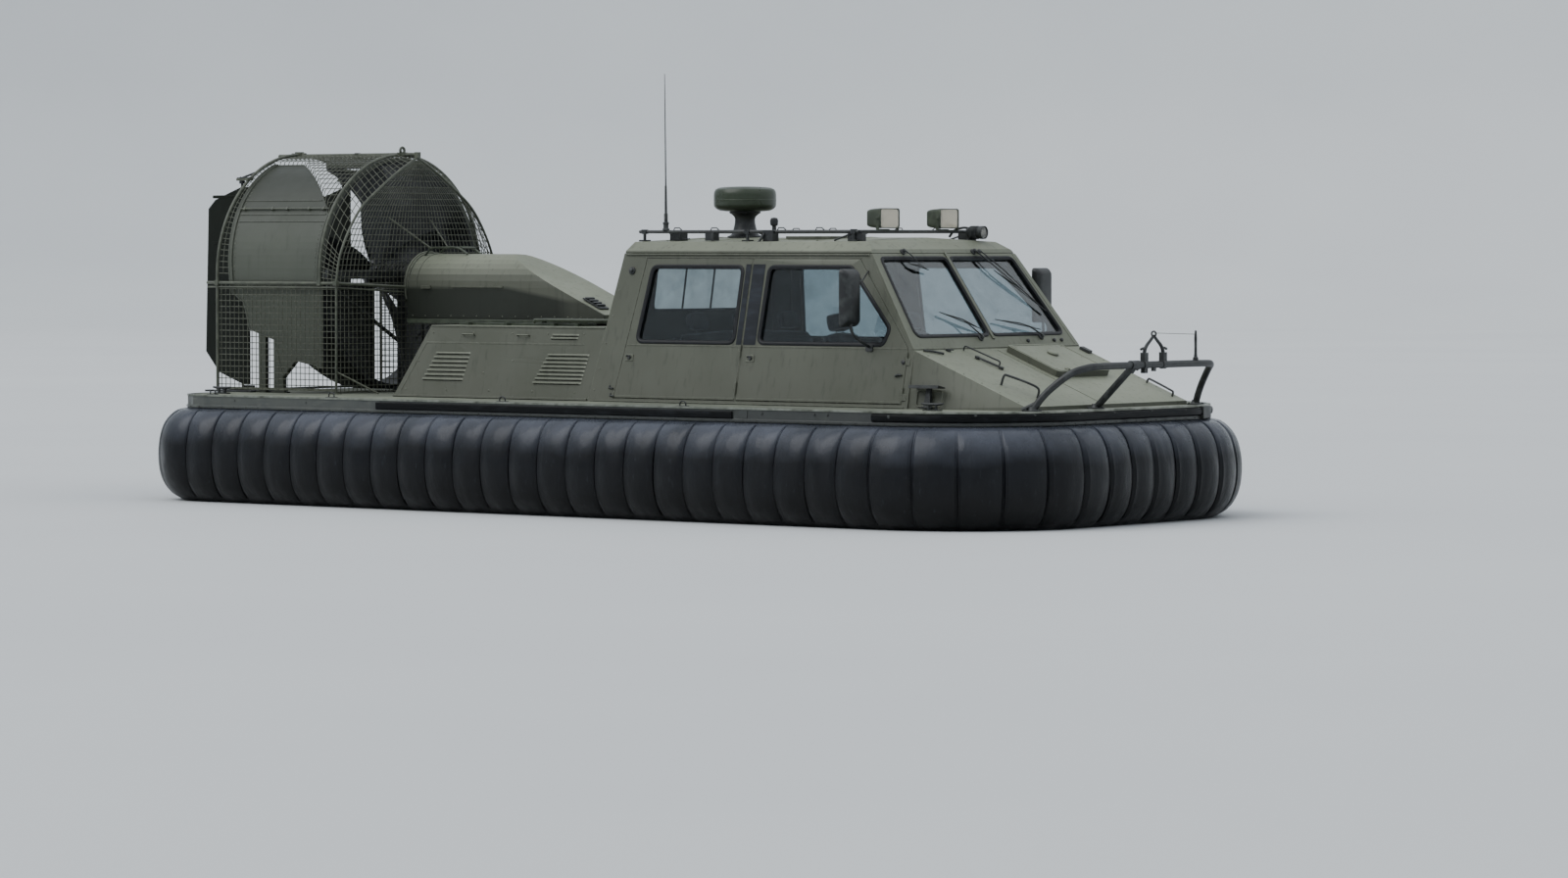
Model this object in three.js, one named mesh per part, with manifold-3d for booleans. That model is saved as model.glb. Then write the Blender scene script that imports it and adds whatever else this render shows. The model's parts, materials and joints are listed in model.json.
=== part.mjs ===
// A utility hovercraft about 11 m long: inflated skirt, decked hull with rub rail, closed
// cabin with leaning sides, wedge nose, engine housing, and one ducted propeller with rudders.
// Millimetres. +X is the bow, +Y is port, +Z is up, and z = 0 is the ground it stands on.

import * as THREE from "three";
import { ConvexGeometry } from "three/addons/geometries/ConvexGeometry.js";
import { mergeVertices } from "three/addons/utils/BufferGeometryUtils.js";
import Module from "manifold-3d";

const wasm = await Module();
wasm.setup();

// Driving dimensions

const SEAT_GAP = 0.3; // what touching pieces keep between them
const DOOR_GAP = 6; // running gap round doors and hatch

const DECK_Z = 1050;
const RAIL = { sternX: -4785, bowX: 5315, halfBeam: 2150, bowRadius: 1230, sternRadius: 480 };
const RAIL_HEIGHT = 130;
const RAIL_DEPTH = 61.7;
const HULL_INSET = 62;
const HULL_BOTTOM_Z = 420;
const HULL_BOTTOM_INSET = 450;
const HULL_CHINE_Z = 900;
const SKIRT_LOBES = 78;
const SKIRT_BULGE = 300;
const SKIRT_SEAM_BULGE = 252;
const SKID = { y: 900, width: 120, halfLength: 3700, rise: 320 };

const SIDE_LEAN = 0.216; // how far the cabin side leans in for each unit of height
const SIDE_HALF_WIDTH = 1415; // at the deck
const WALL = 45; // cabin wall and door thickness
const CABIN_TOP_Z = 2450;
const CREASE = { x: 3837, z: 1575 }; // where the windscreen panel meets the nose
const WINDSCREEN_RAKE = 0.711;
const REAR_WALL = { bottomX: 60, slope: 0.1496 };
const CABIN_FLOOR_Z = 850;

const NOSE_TOE = { x: 5060, z: 1085, halfWidth: 1285 };
const NOSE_SKIN = 20;
const ENGINE_HOUSING = { rearBottomX: -2428, rearTopX: -2056, topZ: 1750, wall: 30 };

const FAN = {
  z: 2235, duct: 1165, ductWall: 45, frontX: -3645, rearBottomX: -4850, rearTopX: -4985, propX: -3955,
};
const PROP = { radius: 1092, hubRadius: 110, blades: 5 };
const CAGE = {
  frontX: -3385, lipX: -3605, rearX: -5000, radius: 1215, lipRadius: 1200, halfWidth: 1200,
  barZ: 2150, topZ: 3440, tube: 20, hoop: 16, frontHoop: 13, wire: 4, mesh: 240,
};
const RUDDER = {
  y: 750, pivotX: -5100, topZ: 3118, bottomZ: 1110, thickness: 50, pin: 12, bearingZ: 3182,
};

const ROOF_CROWN_Z = 2600;
const RACK = { rearX: 280, frontX: 2900, halfWidth: 900, z: 2655, tube: 15 };

// Finishes

const finish = (color, roughness, metalness = 0) => ({ color, roughness, metalness });
const OLIVE = finish(0x5b5f50, 0.75);
const LIGHT_OLIVE = finish(0x82867a, 0.75);
const DARK_GREEN = finish(0x2e3329, 0.7);
const SKIRT_RUBBER = finish(0x2d3037, 0.45);
const BLACK_PAINT = finish(0x1d1f1f, 0.55);
const RAIL_METAL = finish(0x7c8078, 0.5, 0.6);
const GLASS = finish(0x2a3a44, 0.08);
const SEAT_CLOTH = finish(0x2b2d2e, 0.95);
const ENGINE_IRON = finish(0x4a4c4a, 0.6, 0.5);

// Solids: joining, cutting and placing

function solid(geometry) {
  const plain = geometry.clone();
  plain.deleteAttribute("normal");
  plain.deleteAttribute("uv");
  const merged = mergeVertices(plain, 1e-3);
  return new wasm.Manifold(new wasm.Mesh({
    numProp: 3,
    vertProperties: new Float32Array(merged.attributes.position.array),
    triVerts: new Uint32Array(merged.index.array),
  }));
}

function geometryOf(manifold) {
  const mesh = manifold.getMesh();
  const geometry = new THREE.BufferGeometry();
  geometry.setAttribute("position", new THREE.BufferAttribute(mesh.vertProperties, 3));
  geometry.setIndex(new THREE.BufferAttribute(mesh.triVerts, 1));
  geometry.computeVertexNormals();
  return geometry;
}

const join = (...solids) => solids.reduce((all, next) => all.add(next));
const cut = (body, ...tools) => tools.reduce((left, tool) => left.subtract(tool), body);

// The same solid on the port side
function toPort(manifold) {
  const mesh = manifold.getMesh();
  const places = mesh.vertProperties.slice();
  const triangles = mesh.triVerts.slice();
  for (let i = 1; i < places.length; i += 3) places[i] = -places[i];
  for (let i = 0; i < triangles.length; i += 3) {
    [triangles[i], triangles[i + 1]] = [triangles[i + 1], triangles[i]];
  }
  return new wasm.Manifold(new wasm.Mesh({ numProp: 3, vertProperties: places, triVerts: triangles }));
}

const bothSides = (manifold) => join(manifold, toPort(manifold));

// A flat outline pushed along its normal. basis: where the outline's two axes and its normal point.
function prism(points, near, far, basis) {
  const shape = new THREE.Shape(points.map(([a, b]) => new THREE.Vector2(a, b)));
  const geometry = new THREE.ExtrudeGeometry(shape, { depth: far - near, bevelEnabled: false });
  geometry.translate(0, 0, near);
  if (basis) geometry.applyMatrix4(basis);
  return solid(geometry);
}

function basisOf(across, up, origin = [0, 0, 0]) {
  const a = new THREE.Vector3(...across).normalize();
  const b = new THREE.Vector3(...up).normalize();
  const normal = new THREE.Vector3().crossVectors(a, b);
  return new THREE.Matrix4().makeBasis(a, b, normal).setPosition(...origin);
}

const plan = (points, z0, z1) => prism(points, z0, z1);
const alongX = (points, x0, x1) => prism(points, x0, x1, basisOf([0, 1, 0], [0, 0, 1]));
const alongY = (points, y0, y1) => prism(points, -y1, -y0, basisOf([1, 0, 0], [0, 0, 1]));

// Outlines on the leaning starboard side are given as x and true height z
const LEAN_LENGTH = Math.hypot(1, SIDE_LEAN);
const SIDE_BASIS = basisOf([1, 0, 0], [0, SIDE_LEAN, 1], [0, -SIDE_HALF_WIDTH, DECK_Z]);
const onSide = (points, inner, outer) =>
  prism(points.map(([x, z]) => [x, (z - DECK_Z) * LEAN_LENGTH]), inner, outer, SIDE_BASIS);

// Outlines on the windscreen are given as y and true height z
const RAKE_LENGTH = Math.hypot(1, WINDSCREEN_RAKE);
const SCREEN_BASIS = basisOf([0, 1, 0], [-WINDSCREEN_RAKE, 0, 1], [CREASE.x, 0, CREASE.z]);
const onScreen = (points, inner, outer) =>
  prism(points.map(([y, z]) => [y, (z - CREASE.z) * RAKE_LENGTH]), inner, outer, SCREEN_BASIS);

function block(x0, x1, y0, y1, z0, z1) {
  const geometry = new THREE.BoxGeometry(x1 - x0, y1 - y0, z1 - z0);
  geometry.translate((x0 + x1) / 2, (y0 + y1) / 2, (z0 + z1) / 2);
  return solid(geometry);
}

function rod(from, to, radius, sides = 10, endRadius = radius) {
  const a = new THREE.Vector3(...from);
  const b = new THREE.Vector3(...to);
  const geometry = new THREE.CylinderGeometry(endRadius, radius, a.distanceTo(b), sides);
  const turn = new THREE.Quaternion().setFromUnitVectors(
    new THREE.Vector3(0, 1, 0), b.clone().sub(a).normalize());
  geometry.applyQuaternion(turn);
  const middle = a.add(b).multiplyScalar(0.5);
  geometry.translate(middle.x, middle.y, middle.z);
  return solid(geometry);
}

function bentTube(points, radius, steps, sides = 8) {
  const route = new THREE.CatmullRomCurve3(points.map((p) => new THREE.Vector3(...p)), false, "centripetal");
  const ring = Array.from({ length: sides }, (_, i) => {
    const angle = (2 * Math.PI * i) / sides;
    return new THREE.Vector2(radius * Math.cos(angle), radius * Math.sin(angle));
  });
  const options = { steps, extrudePath: route, bevelEnabled: false };
  return solid(new THREE.ExtrudeGeometry(new THREE.Shape(ring), options));
}

const straightTubes = (points, radius, sides = 8) =>
  join(...points.slice(1).map((end, i) => rod(points[i], end, radius, sides)));

// A body lofted through rings of points; closed runs back to its first ring
function loft(rings, closed) {
  const count = rings[0].length;
  const places = rings.flat(2);
  const triangles = [];
  const last = closed ? rings.length : rings.length - 1;
  for (let i = 0; i < last; i += 1) {
    const here = i * count;
    const next = ((i + 1) % rings.length) * count;
    for (let j = 0; j < count; j += 1) {
      const k = (j + 1) % count;
      triangles.push(here + j, next + j, next + k, here + j, next + k, here + k);
    }
  }
  if (!closed) {
    const end = last * count;
    for (let j = 1; j < count - 1; j += 1) {
      triangles.push(0, j, j + 1, end, end + j + 1, end + j);
    }
  }
  const geometry = new THREE.BufferGeometry();
  geometry.setAttribute("position", new THREE.Float32BufferAttribute(places, 3));
  geometry.setIndex(volume(places, triangles) > 0 ? triangles : triangles.reverse());
  return solid(geometry);
}

// Six times the signed volume: negative where the faces point inwards
function volume(places, triangles) {
  let sum = 0;
  for (let i = 0; i < triangles.length; i += 3) {
    const [a, b, c] = [0, 1, 2].map((k) => new THREE.Vector3().fromArray(places, 3 * triangles[i + k]));
    sum += a.dot(b.cross(c));
  }
  return sum;
}

const hullOf = (points) => solid(new ConvexGeometry(points.map((p) => new THREE.Vector3(...p))));

// Rounded outline with the given corner radius, corners listed counter-clockwise
function rounded(corners, radius, steps = 3) {
  const outline = [];
  corners.forEach((corner, i) => {
    const before = new THREE.Vector2(...corners[(i + corners.length - 1) % corners.length]);
    const after = new THREE.Vector2(...corners[(i + 1) % corners.length]);
    const here = new THREE.Vector2(...corner);
    const a = before.sub(here).normalize();
    const b = after.sub(here).normalize();
    const half = Math.acos(a.dot(b)) / 2;
    const reach = radius / Math.tan(half);
    const start = here.clone().addScaledVector(a, reach);
    const end = here.clone().addScaledVector(b, reach);
    for (let s = 0; s <= steps; s += 1) {
      const t = s / steps;
      const p = start.clone().multiplyScalar((1 - t) ** 2)
        .addScaledVector(here, 2 * t * (1 - t))
        .addScaledVector(end, t * t);
      outline.push([p.x, p.y]);
    }
  });
  return outline;
}

const grown = (corners, gap) => {
  const total = corners.reduce((sum, [a, b]) => [sum[0] + a, sum[1] + b], [0, 0]);
  const centre = total.map((v) => v / corners.length);
  return corners.map(([a, b]) => {
    const away = [a - centre[0], b - centre[1]];
    return [a + Math.sign(away[0]) * gap, b + Math.sign(away[1]) * gap];
  });
};

// The scene graph: one group for each body that moves as one

const hovercraft = new THREE.Group();

function addGroup(name) {
  const group = new THREE.Group();
  group.name = name;
  hovercraft.add(group);
  return group;
}

function add(group, name, manifold, look) {
  const mesh = new THREE.Mesh(geometryOf(manifold), new THREE.MeshStandardMaterial(look));
  mesh.name = name;
  group.add(mesh);
}

const craft = addGroup("craft");

// Rail outline, walked from the middle of the stern to port, bow and starboard

function railStations(count) {
  const { sternX, bowX, halfBeam, bowRadius, sternRadius } = RAIL;
  const quarter = Math.PI / 2;
  const sternArcX = sternX + sternRadius;
  const bowArcX = bowX - bowRadius;
  const halfSide = [
    { length: halfBeam - sternRadius, at: (s) => [sternX, s, -1, 0] },
    { length: sternRadius * quarter, at: (s) => {
      const angle = Math.PI - s / sternRadius;
      const n = [Math.cos(angle), Math.sin(angle)];
      return [sternArcX + sternRadius * n[0], halfBeam - sternRadius + sternRadius * n[1], ...n];
    } },
    { length: bowArcX - sternArcX, at: (s) => [sternArcX + s, halfBeam, 0, 1] },
    { length: bowRadius * quarter, at: (s) => {
      const angle = quarter - s / bowRadius;
      const n = [Math.cos(angle), Math.sin(angle)];
      return [bowArcX + bowRadius * n[0], halfBeam - bowRadius + bowRadius * n[1], ...n];
    } },
    { length: halfBeam - bowRadius, at: (s) => [bowX, halfBeam - bowRadius - s, 1, 0] },
  ];
  const halfLength = halfSide.reduce((sum, part) => sum + part.length, 0);
  const pointAt = (distance) => {
    let left = distance;
    for (const part of halfSide) {
      if (left <= part.length + 1e-6) return part.at(left);
      left -= part.length;
    }
    return [bowX, 0, 1, 0];
  };
  return Array.from({ length: count }, (_, i) => {
    const distance = (2 * halfLength * i) / count;
    if (distance <= halfLength) return pointAt(distance);
    const [x, y, nx, ny] = pointAt(2 * halfLength - distance);
    return [x, -y, nx, -ny];
  });
}

const STATIONS = railStations(2 * SKIRT_LOBES);
// Straight runs need only their two ends: a station stays where the outline turns beside it
const CORNERS = STATIONS.filter(([, , nx, ny], i) => {
  const beside = [STATIONS.at(i - 1), STATIONS[(i + 1) % STATIONS.length]];
  return beside.some(([, , mx, my]) => Math.abs(mx - nx) + Math.abs(my - ny) > 1e-6);
});
const offsetStation = ([x, y, nx, ny], out, z) => [x + nx * out, y + ny * out, z];

// Hull, rail and skirt

function makeHull() {
  const levels = [
    [-HULL_BOTTOM_INSET, HULL_BOTTOM_Z],
    [-HULL_INSET, HULL_CHINE_Z],
    [-HULL_INSET, DECK_Z],
  ];
  const rings = levels.map(([out, z]) => CORNERS.map((station) => offsetStation(station, out, z)));
  const well = block(160, 3740, -1250, 1250, CABIN_FLOOR_Z, DECK_Z + 100);
  return cut(loft(rings, false), well);
}

function makeRail() {
  const bottom = DECK_Z - RAIL_HEIGHT;
  const section = [
    [-RAIL_DEPTH, bottom],
    [-8, bottom],
    [0, bottom + 15],
    [0, DECK_Z - 15],
    [-10, DECK_Z],
    [-RAIL_DEPTH, DECK_Z],
  ];
  return loft(CORNERS.map((station) => section.map(([out, z]) => offsetStation(station, out, z))), true);
}

// Skirt section: share of the bulge, or a fixed distance out from the rail, and the height
function makeSkirt() {
  const top = DECK_Z - RAIL_HEIGHT - SEAT_GAP;
  const outer = [[0.45, 880], [0.83, 740], [1, 500], [0.93, 260], [0.62, 90]];
  const inner = [
    [40, 0],
    [-60, 0],
    [-170, 150],
    [-HULL_BOTTOM_INSET + SEAT_GAP, HULL_BOTTOM_Z - 0.4],
    [-HULL_INSET + SEAT_GAP, HULL_CHINE_Z - 0.4],
    [-HULL_INSET + SEAT_GAP, top],
  ];
  const rings = STATIONS.map((station, i) => {
    const bulge = i % 2 ? SKIRT_BULGE : SKIRT_SEAM_BULGE;
    const section = [[-8, top], ...outer.map(([share, z]) => [share * bulge, z]), ...inner];
    return section.map(([out, z]) => offsetStation(station, out, z));
  });
  return loft(rings, true);
}

function makeSkid() {
  const { y, width, halfLength, rise } = SKID;
  const top = HULL_BOTTOM_Z - SEAT_GAP;
  const side = [
    [-halfLength, top],
    [-halfLength + rise, 0],
    [halfLength - rise, 0],
    [halfLength, top],
  ];
  return alongY(side, -y - width / 2, -y + width / 2);
}

add(craft, "hull", makeHull(), LIGHT_OLIVE);
add(craft, "rub_rail", makeRail(), RAIL_METAL);
add(craft, "skirt", makeSkirt(), SKIRT_RUBBER);
add(craft, "skid_starboard", makeSkid(), DARK_GREEN);
add(craft, "skid_port", toPort(makeSkid()), DARK_GREEN);

// Cabin, with leaning sides and a raked windscreen

const sideHalfWidth = (z) => SIDE_HALF_WIDTH - SIDE_LEAN * (z - DECK_Z);
const rearWallX = (z) => REAR_WALL.bottomX + REAR_WALL.slope * (z - DECK_Z);
const screenX = (z) => CREASE.x - WINDSCREEN_RAKE * (z - CREASE.z);

const leaningSection = (bottom, top, inset = 0) => [
  [-(sideHalfWidth(bottom) - inset), bottom],
  [sideHalfWidth(bottom) - inset, bottom],
  [sideHalfWidth(top) - inset, top],
  [-(sideHalfWidth(top) - inset), top],
];

// Door and window outlines on the side, as x and height, counter-clockwise.
// The rear door's back edge rakes forward; the front door's front edge follows the windscreen post.
const DOOR_BOTTOM_Z = 1090;
const DOOR_TOP_Z = 2400;
const DOORS = {
  rear: {
    hingeX: 1835,
    hingeZ: [1200, 1540],
    outline: [[370, DOOR_BOTTOM_Z], [1829, DOOR_BOTTOM_Z], [1829, DOOR_TOP_Z], [560, DOOR_TOP_Z]],
    window: [[570, 1628], [1727, 1628], [1724, 2320], [648, 2320]],
  },
  front: {
    hingeX: 3769,
    hingeZ: [1180, 1500],
    outline: [
      [1847, DOOR_BOTTOM_Z], [3763, DOOR_BOTTOM_Z], [3763, 1590], [3590, 1800], [3085, DOOR_TOP_Z],
      [1847, DOOR_TOP_Z],
    ],
    window: [[2032, 1630], [3470, 1630], [3520, 1770], [2992, 2320], [2050, 2320]],
  },
};
const WINDOW_RADIUS = 55;
const HINGE = { out: 12, radius: 7, length: 60 };

// Door opening: the outline moved out by the running gap
function doorway(door, gap) {
  const { outline } = DOORS[door];
  const slack = door === "rear"
    ? [[-gap, -gap], [gap - 1, -gap], [gap - 1, gap], [-gap - 1, gap]]
    : [[1 - gap, -gap], [gap, -gap], [gap, gap * 0.5], [gap, gap * 0.3], [gap * 0.7, gap], [1 - gap, gap]];
  return outline.map(([x, z], i) => [x + slack[i][0], z + slack[i][1]]);
}

// Hinge half: a barrel just outside the door's face on a leaf, given as x from the pin and depth out
const LEAF_BASIS = basisOf([1, 0, 0], [0, -1, SIDE_LEAN], [0, -SIDE_HALF_WIDTH, DECK_Z]);
function hingeKnuckle(door, z, onDoor) {
  const { hingeX } = DOORS[door];
  const height = (z - DECK_Z) * LEAN_LENGTH;
  const low = height + (onDoor ? SEAT_GAP : -HINGE.length);
  const high = height + (onDoor ? HINGE.length : 0);
  const barrel = new THREE.CylinderGeometry(HINGE.radius, HINGE.radius, high - low, 12);
  barrel.translate(hingeX, (low + high) / 2, HINGE.out);
  barrel.applyMatrix4(SIDE_BASIS);
  const reach = door === "rear" ? 6 : 40;
  const leaf = onDoor
    ? [[-30, -2], [-8, -2], [0, 8], [0, 14], [-30, 5]]
    : [[1, -2], [reach, -2], [reach, 5], [1, 15], [-2, 9]];
  return join(solid(barrel), prism(leaf.map(([x, out]) => [hingeX + x, out]), -high, -low, LEAF_BASIS));
}

const paneOutline = (door) => rounded(DOORS[door].window, WINDOW_RADIUS);

function makeDoor(door) {
  const { outline, window, hingeZ } = DOORS[door];
  const slab = onSide(outline, -WALL, 0);
  const opening = onSide(rounded(grown(window, SEAT_GAP), WINDOW_RADIUS), -WALL - 5, 5);
  return join(cut(slab, opening), ...hingeZ.map((z) => hingeKnuckle(door, z, true)));
}

const makePane = (door) => onSide(paneOutline(door), -26, -18);

// Two windscreen panes, one each side of a centre post: y and height, starboard one
const SCREEN_PANE = [[-1150, 1703], [-30, 1703], [-30, 2405], [-1020, 2405]];

function makeCabinShell() {
  const profile = [
    [rearWallX(DECK_Z), DECK_Z + SEAT_GAP],
    [CREASE.x, DECK_Z + SEAT_GAP],
    [CREASE.x, CREASE.z],
    [screenX(CABIN_TOP_Z), CABIN_TOP_Z],
    [rearWallX(CABIN_TOP_Z), CABIN_TOP_Z],
  ];
  const inside = [
    [rearWallX(900) + WALL, 900],
    [CREASE.x - WALL, 900],
    [CREASE.x - WALL, CREASE.z - 20],
    [screenX(2600) - WALL * RAKE_LENGTH, 2600],
    [rearWallX(2600) + WALL, 2600],
  ];
  const outer = alongY(profile, -2000, 2000).intersect(alongX(leaningSection(1000, 2700), -500, 4500));
  const inner = alongY(inside, -2000, 2000).intersect(
    alongX(leaningSection(850, 2800, WALL * LEAN_LENGTH), -500, 4500));
  const doorways = ["rear", "front"].map((door) => onSide(doorway(door, DOOR_GAP), -120, 60));
  const screen = onScreen(rounded(grown(SCREEN_PANE, SEAT_GAP), WINDOW_RADIUS), -120, 60);
  const openings = [...doorways, screen].flatMap((tool) => [tool, toPort(tool)]);
  const knuckles = ["rear", "front"].flatMap((door) =>
    DOORS[door].hingeZ.map((z) => hingeKnuckle(door, z, false)));
  return join(cut(outer, inner, ...openings), ...knuckles, ...knuckles.map(toPort));
}

// Roof panel: a shallow tray whose front edge carries the windscreen's slope up as a brow
function makeRoof() {
  const bottom = CABIN_TOP_Z + SEAT_GAP;
  const edge = sideHalfWidth(2475);
  const section = (drop) => [
    [-sideHalfWidth(bottom) + drop, bottom - drop],
    [sideHalfWidth(bottom) - drop, bottom - drop],
    [edge - drop, 2475 - drop],
    [1000 - drop, 2560 - drop],
    [0, ROOF_CROWN_Z - drop],
    [-1000 + drop, 2560 - drop],
    [-edge + drop, 2475 - drop],
  ];
  const profile = [
    [rearWallX(bottom), bottom],
    [screenX(bottom), bottom],
    [screenX(2490), 2490],
    [3015, ROOF_CROWN_Z + 5],
    [rearWallX(bottom) + 40, ROOF_CROWN_Z + 5],
  ];
  const recess = [[330, 2400], [3080, 2400], [2950, ROOF_CROWN_Z], [330, ROOF_CROWN_Z]];
  const outer = alongX(section(0), -500, 4500).intersect(alongY(profile, -2000, 2000));
  const inner = alongX(section(WALL), -500, 4500).intersect(alongY(recess, -2000, 2000));
  return cut(outer, inner);
}

add(craft, "cabin_shell", makeCabinShell(), OLIVE);
add(craft, "roof", makeRoof(), LIGHT_OLIVE);
add(craft, "windscreen_starboard", onScreen(rounded(SCREEN_PANE, WINDOW_RADIUS), -26, -18), GLASS);
add(craft, "windscreen_port", toPort(onScreen(rounded(SCREEN_PANE, WINDOW_RADIUS), -26, -18)), GLASS);

// Nose: a hollow wedge with a hatch on its port half

const noseTopZ = (x) => CREASE.z + ((x - CREASE.x) * (NOSE_TOE.z - CREASE.z)) / (NOSE_TOE.x - CREASE.x);
const NOSE_SLOPE = (NOSE_TOE.z - CREASE.z) / (NOSE_TOE.x - CREASE.x);
const NOSE_BASIS = basisOf([1, 0, NOSE_SLOPE], [0, 1, 0], [CREASE.x, 0, CREASE.z]);
const HATCH = { rear: 60, front: 700, inner: 10, outer: 860, height: 60 };

function noseWedge(inset, bottom) {
  const rear = CREASE.x + SEAT_GAP + inset;
  const toe = NOSE_TOE.x - inset * 3;
  const points = [];
  for (const side of [-1, 1]) {
    points.push([rear, side * (sideHalfWidth(CREASE.z) - inset * 1.3), noseTopZ(rear) - inset]);
    points.push([rear, side * (sideHalfWidth(DECK_Z) - 14 - inset), bottom]);
    points.push([toe, side * (NOSE_TOE.halfWidth - inset), noseTopZ(toe) - inset]);
    points.push([toe, side * (NOSE_TOE.halfWidth + 6 - inset), bottom]);
  }
  return hullOf(points);
}

const hatchOutline = (grow) => rounded([
  [HATCH.rear - grow, HATCH.inner - grow],
  [HATCH.front + grow, HATCH.inner - grow],
  [HATCH.front + grow, HATCH.outer + grow],
  [HATCH.rear - grow, HATCH.outer + grow],
], 60);

function makeNoseShell() {
  const opening = prism(hatchOutline(-60), -200, 60, NOSE_BASIS);
  const hinges = [160, 710].map((y) => nosePin(y, false));
  return join(cut(noseWedge(0, DECK_Z + SEAT_GAP), noseWedge(NOSE_SKIN, DECK_Z - 10), opening), ...hinges);
}

// Hatch hinge: barrels side by side across the boat, one on the hatch and one on the nose
const HATCH_HINGE = { along: HATCH.rear - 12, up: 12, radius: 8, length: 40 };
function nosePin(y, onHatch) {
  const { along, up, radius, length } = HATCH_HINGE;
  const from = onHatch ? y + SEAT_GAP : y - length;
  const to = onHatch ? y + length : y;
  const barrel = new THREE.CylinderGeometry(radius, radius, to - from, 12);
  barrel.translate(along, (from + to) / 2, up);
  const leaf = onHatch
    ? new THREE.BoxGeometry(24, to - from, 8).translate(along + 12, (from + to) / 2, up)
    : new THREE.BoxGeometry(10, to - from, up + 2).translate(along - 3, (from + to) / 2, up / 2 - 1);
  barrel.applyMatrix4(NOSE_BASIS);
  leaf.applyMatrix4(NOSE_BASIS);
  return join(solid(barrel), solid(leaf));
}

function makeNoseHatch() {
  const lid = prism(hatchOutline(0), SEAT_GAP, HATCH.height, NOSE_BASIS);
  return join(lid, ...[160, 710].map((y) => nosePin(y, true)));
}

add(craft, "nose_shell", makeNoseShell(), LIGHT_OLIVE);
add(addGroup("nose_hatch_body"), "nose_hatch", makeNoseHatch(), LIGHT_OLIVE);

// Doors, their glass, and the mirrors on the front doors

function makeMirror() {
  const head = hullOf([
    [3225, -1590, 1800], [3225, -1420, 1800], [3225, -1590, 2300], [3225, -1420, 2300],
    [3310, -1560, 1840], [3310, -1450, 1840], [3310, -1560, 2260], [3310, -1450, 2260],
  ]);
  const foot = [3330, -(sideHalfWidth(1600) + 12), 1600];
  const arm = straightTubes([foot, [3280, -1500, 1700], [3265, -1505, 1840]], 14);
  return join(head, arm);
}

function mirrorFoot() {
  const footPlate = [[3290, 1560], [3370, 1560], [3370, 1618], [3290, 1618]];
  return onSide(footPlate, SEAT_GAP, 16);
}

for (const [side, place] of [["starboard", (part) => part], ["port", toPort]]) {
  for (const door of ["front", "rear"]) {
    const group = addGroup(`${door}_door_${side}_body`);
    add(group, `${door}_door_${side}`, place(makeDoor(door)), OLIVE);
    add(group, `${door}_glass_${side}`, place(makePane(door)), GLASS);
    if (door === "front") {
      add(group, `mirror_${side}`, place(join(makeMirror(), mirrorFoot())), BLACK_PAINT);
    }
  }
}

// Cabin interior

function makeSeat(x, y, width) {
  const floor = CABIN_FLOOR_Z + SEAT_GAP;
  const side = [
    [x - 60, floor], [x + 380, floor], [x + 430, floor + 330], [x + 440, floor + 430],
    [x + 40, floor + 400], [x - 90, floor + 1050], [x - 210, floor + 1040], [x - 100, floor + 300],
  ];
  return alongY(side, y - width / 2, y + width / 2);
}

function makeDashboard() {
  const firewall = CREASE.x - WALL - SEAT_GAP;
  const side = [
    [3420, 1330], [firewall, 1250], [firewall, 1540], [3700, 1620], [3500, 1630], [3400, 1560],
  ];
  return alongY(side, -1180, 1180);
}

function makeHelm() {
  const centre = [3260, -560, 1560];
  const wheel = new THREE.TorusGeometry(165, 14, 6, 20);
  wheel.rotateY(Math.PI / 2 + 0.5);
  wheel.translate(...centre);
  const hub = rod([3275, -560, 1552], [3389.2, -560, 1489.4], 30, 12);
  const spokes = [0, 2 * Math.PI / 3, 4 * Math.PI / 3].map((angle) => {
    const across = Math.sin(angle) * 165;
    const up = Math.cos(angle) * 165;
    const end = [centre[0] + up * 0.479, centre[1] + across, centre[2] + up * 0.878];
    return rod([3275, -560, 1552], end, 10, 6);
  });
  return join(solid(wheel), hub, ...spokes);
}

add(craft, "helm_seat", makeSeat(2560, -560, 520), SEAT_CLOTH);
add(craft, "mate_seat", makeSeat(2560, 560, 520), SEAT_CLOTH);
add(craft, "rear_bench", makeSeat(980, 0, 2100), SEAT_CLOTH);
add(craft, "dashboard", makeDashboard(), BLACK_PAINT);
add(craft, "helm_wheel", makeHelm(), BLACK_PAINT);

// Engine housing behind the cabin, with louvres, and the block inside

const LOUVRES = [
  // rear x, front x, lowest slot's z, pitch, slots
  [-2070, -1560, 1215, 42, 7],
  [-650, -60, 1200, 38, 8],
  [-500, -170, 1625, 30, 2],
];
const LOUVRE_SLOT = 14;

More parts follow.
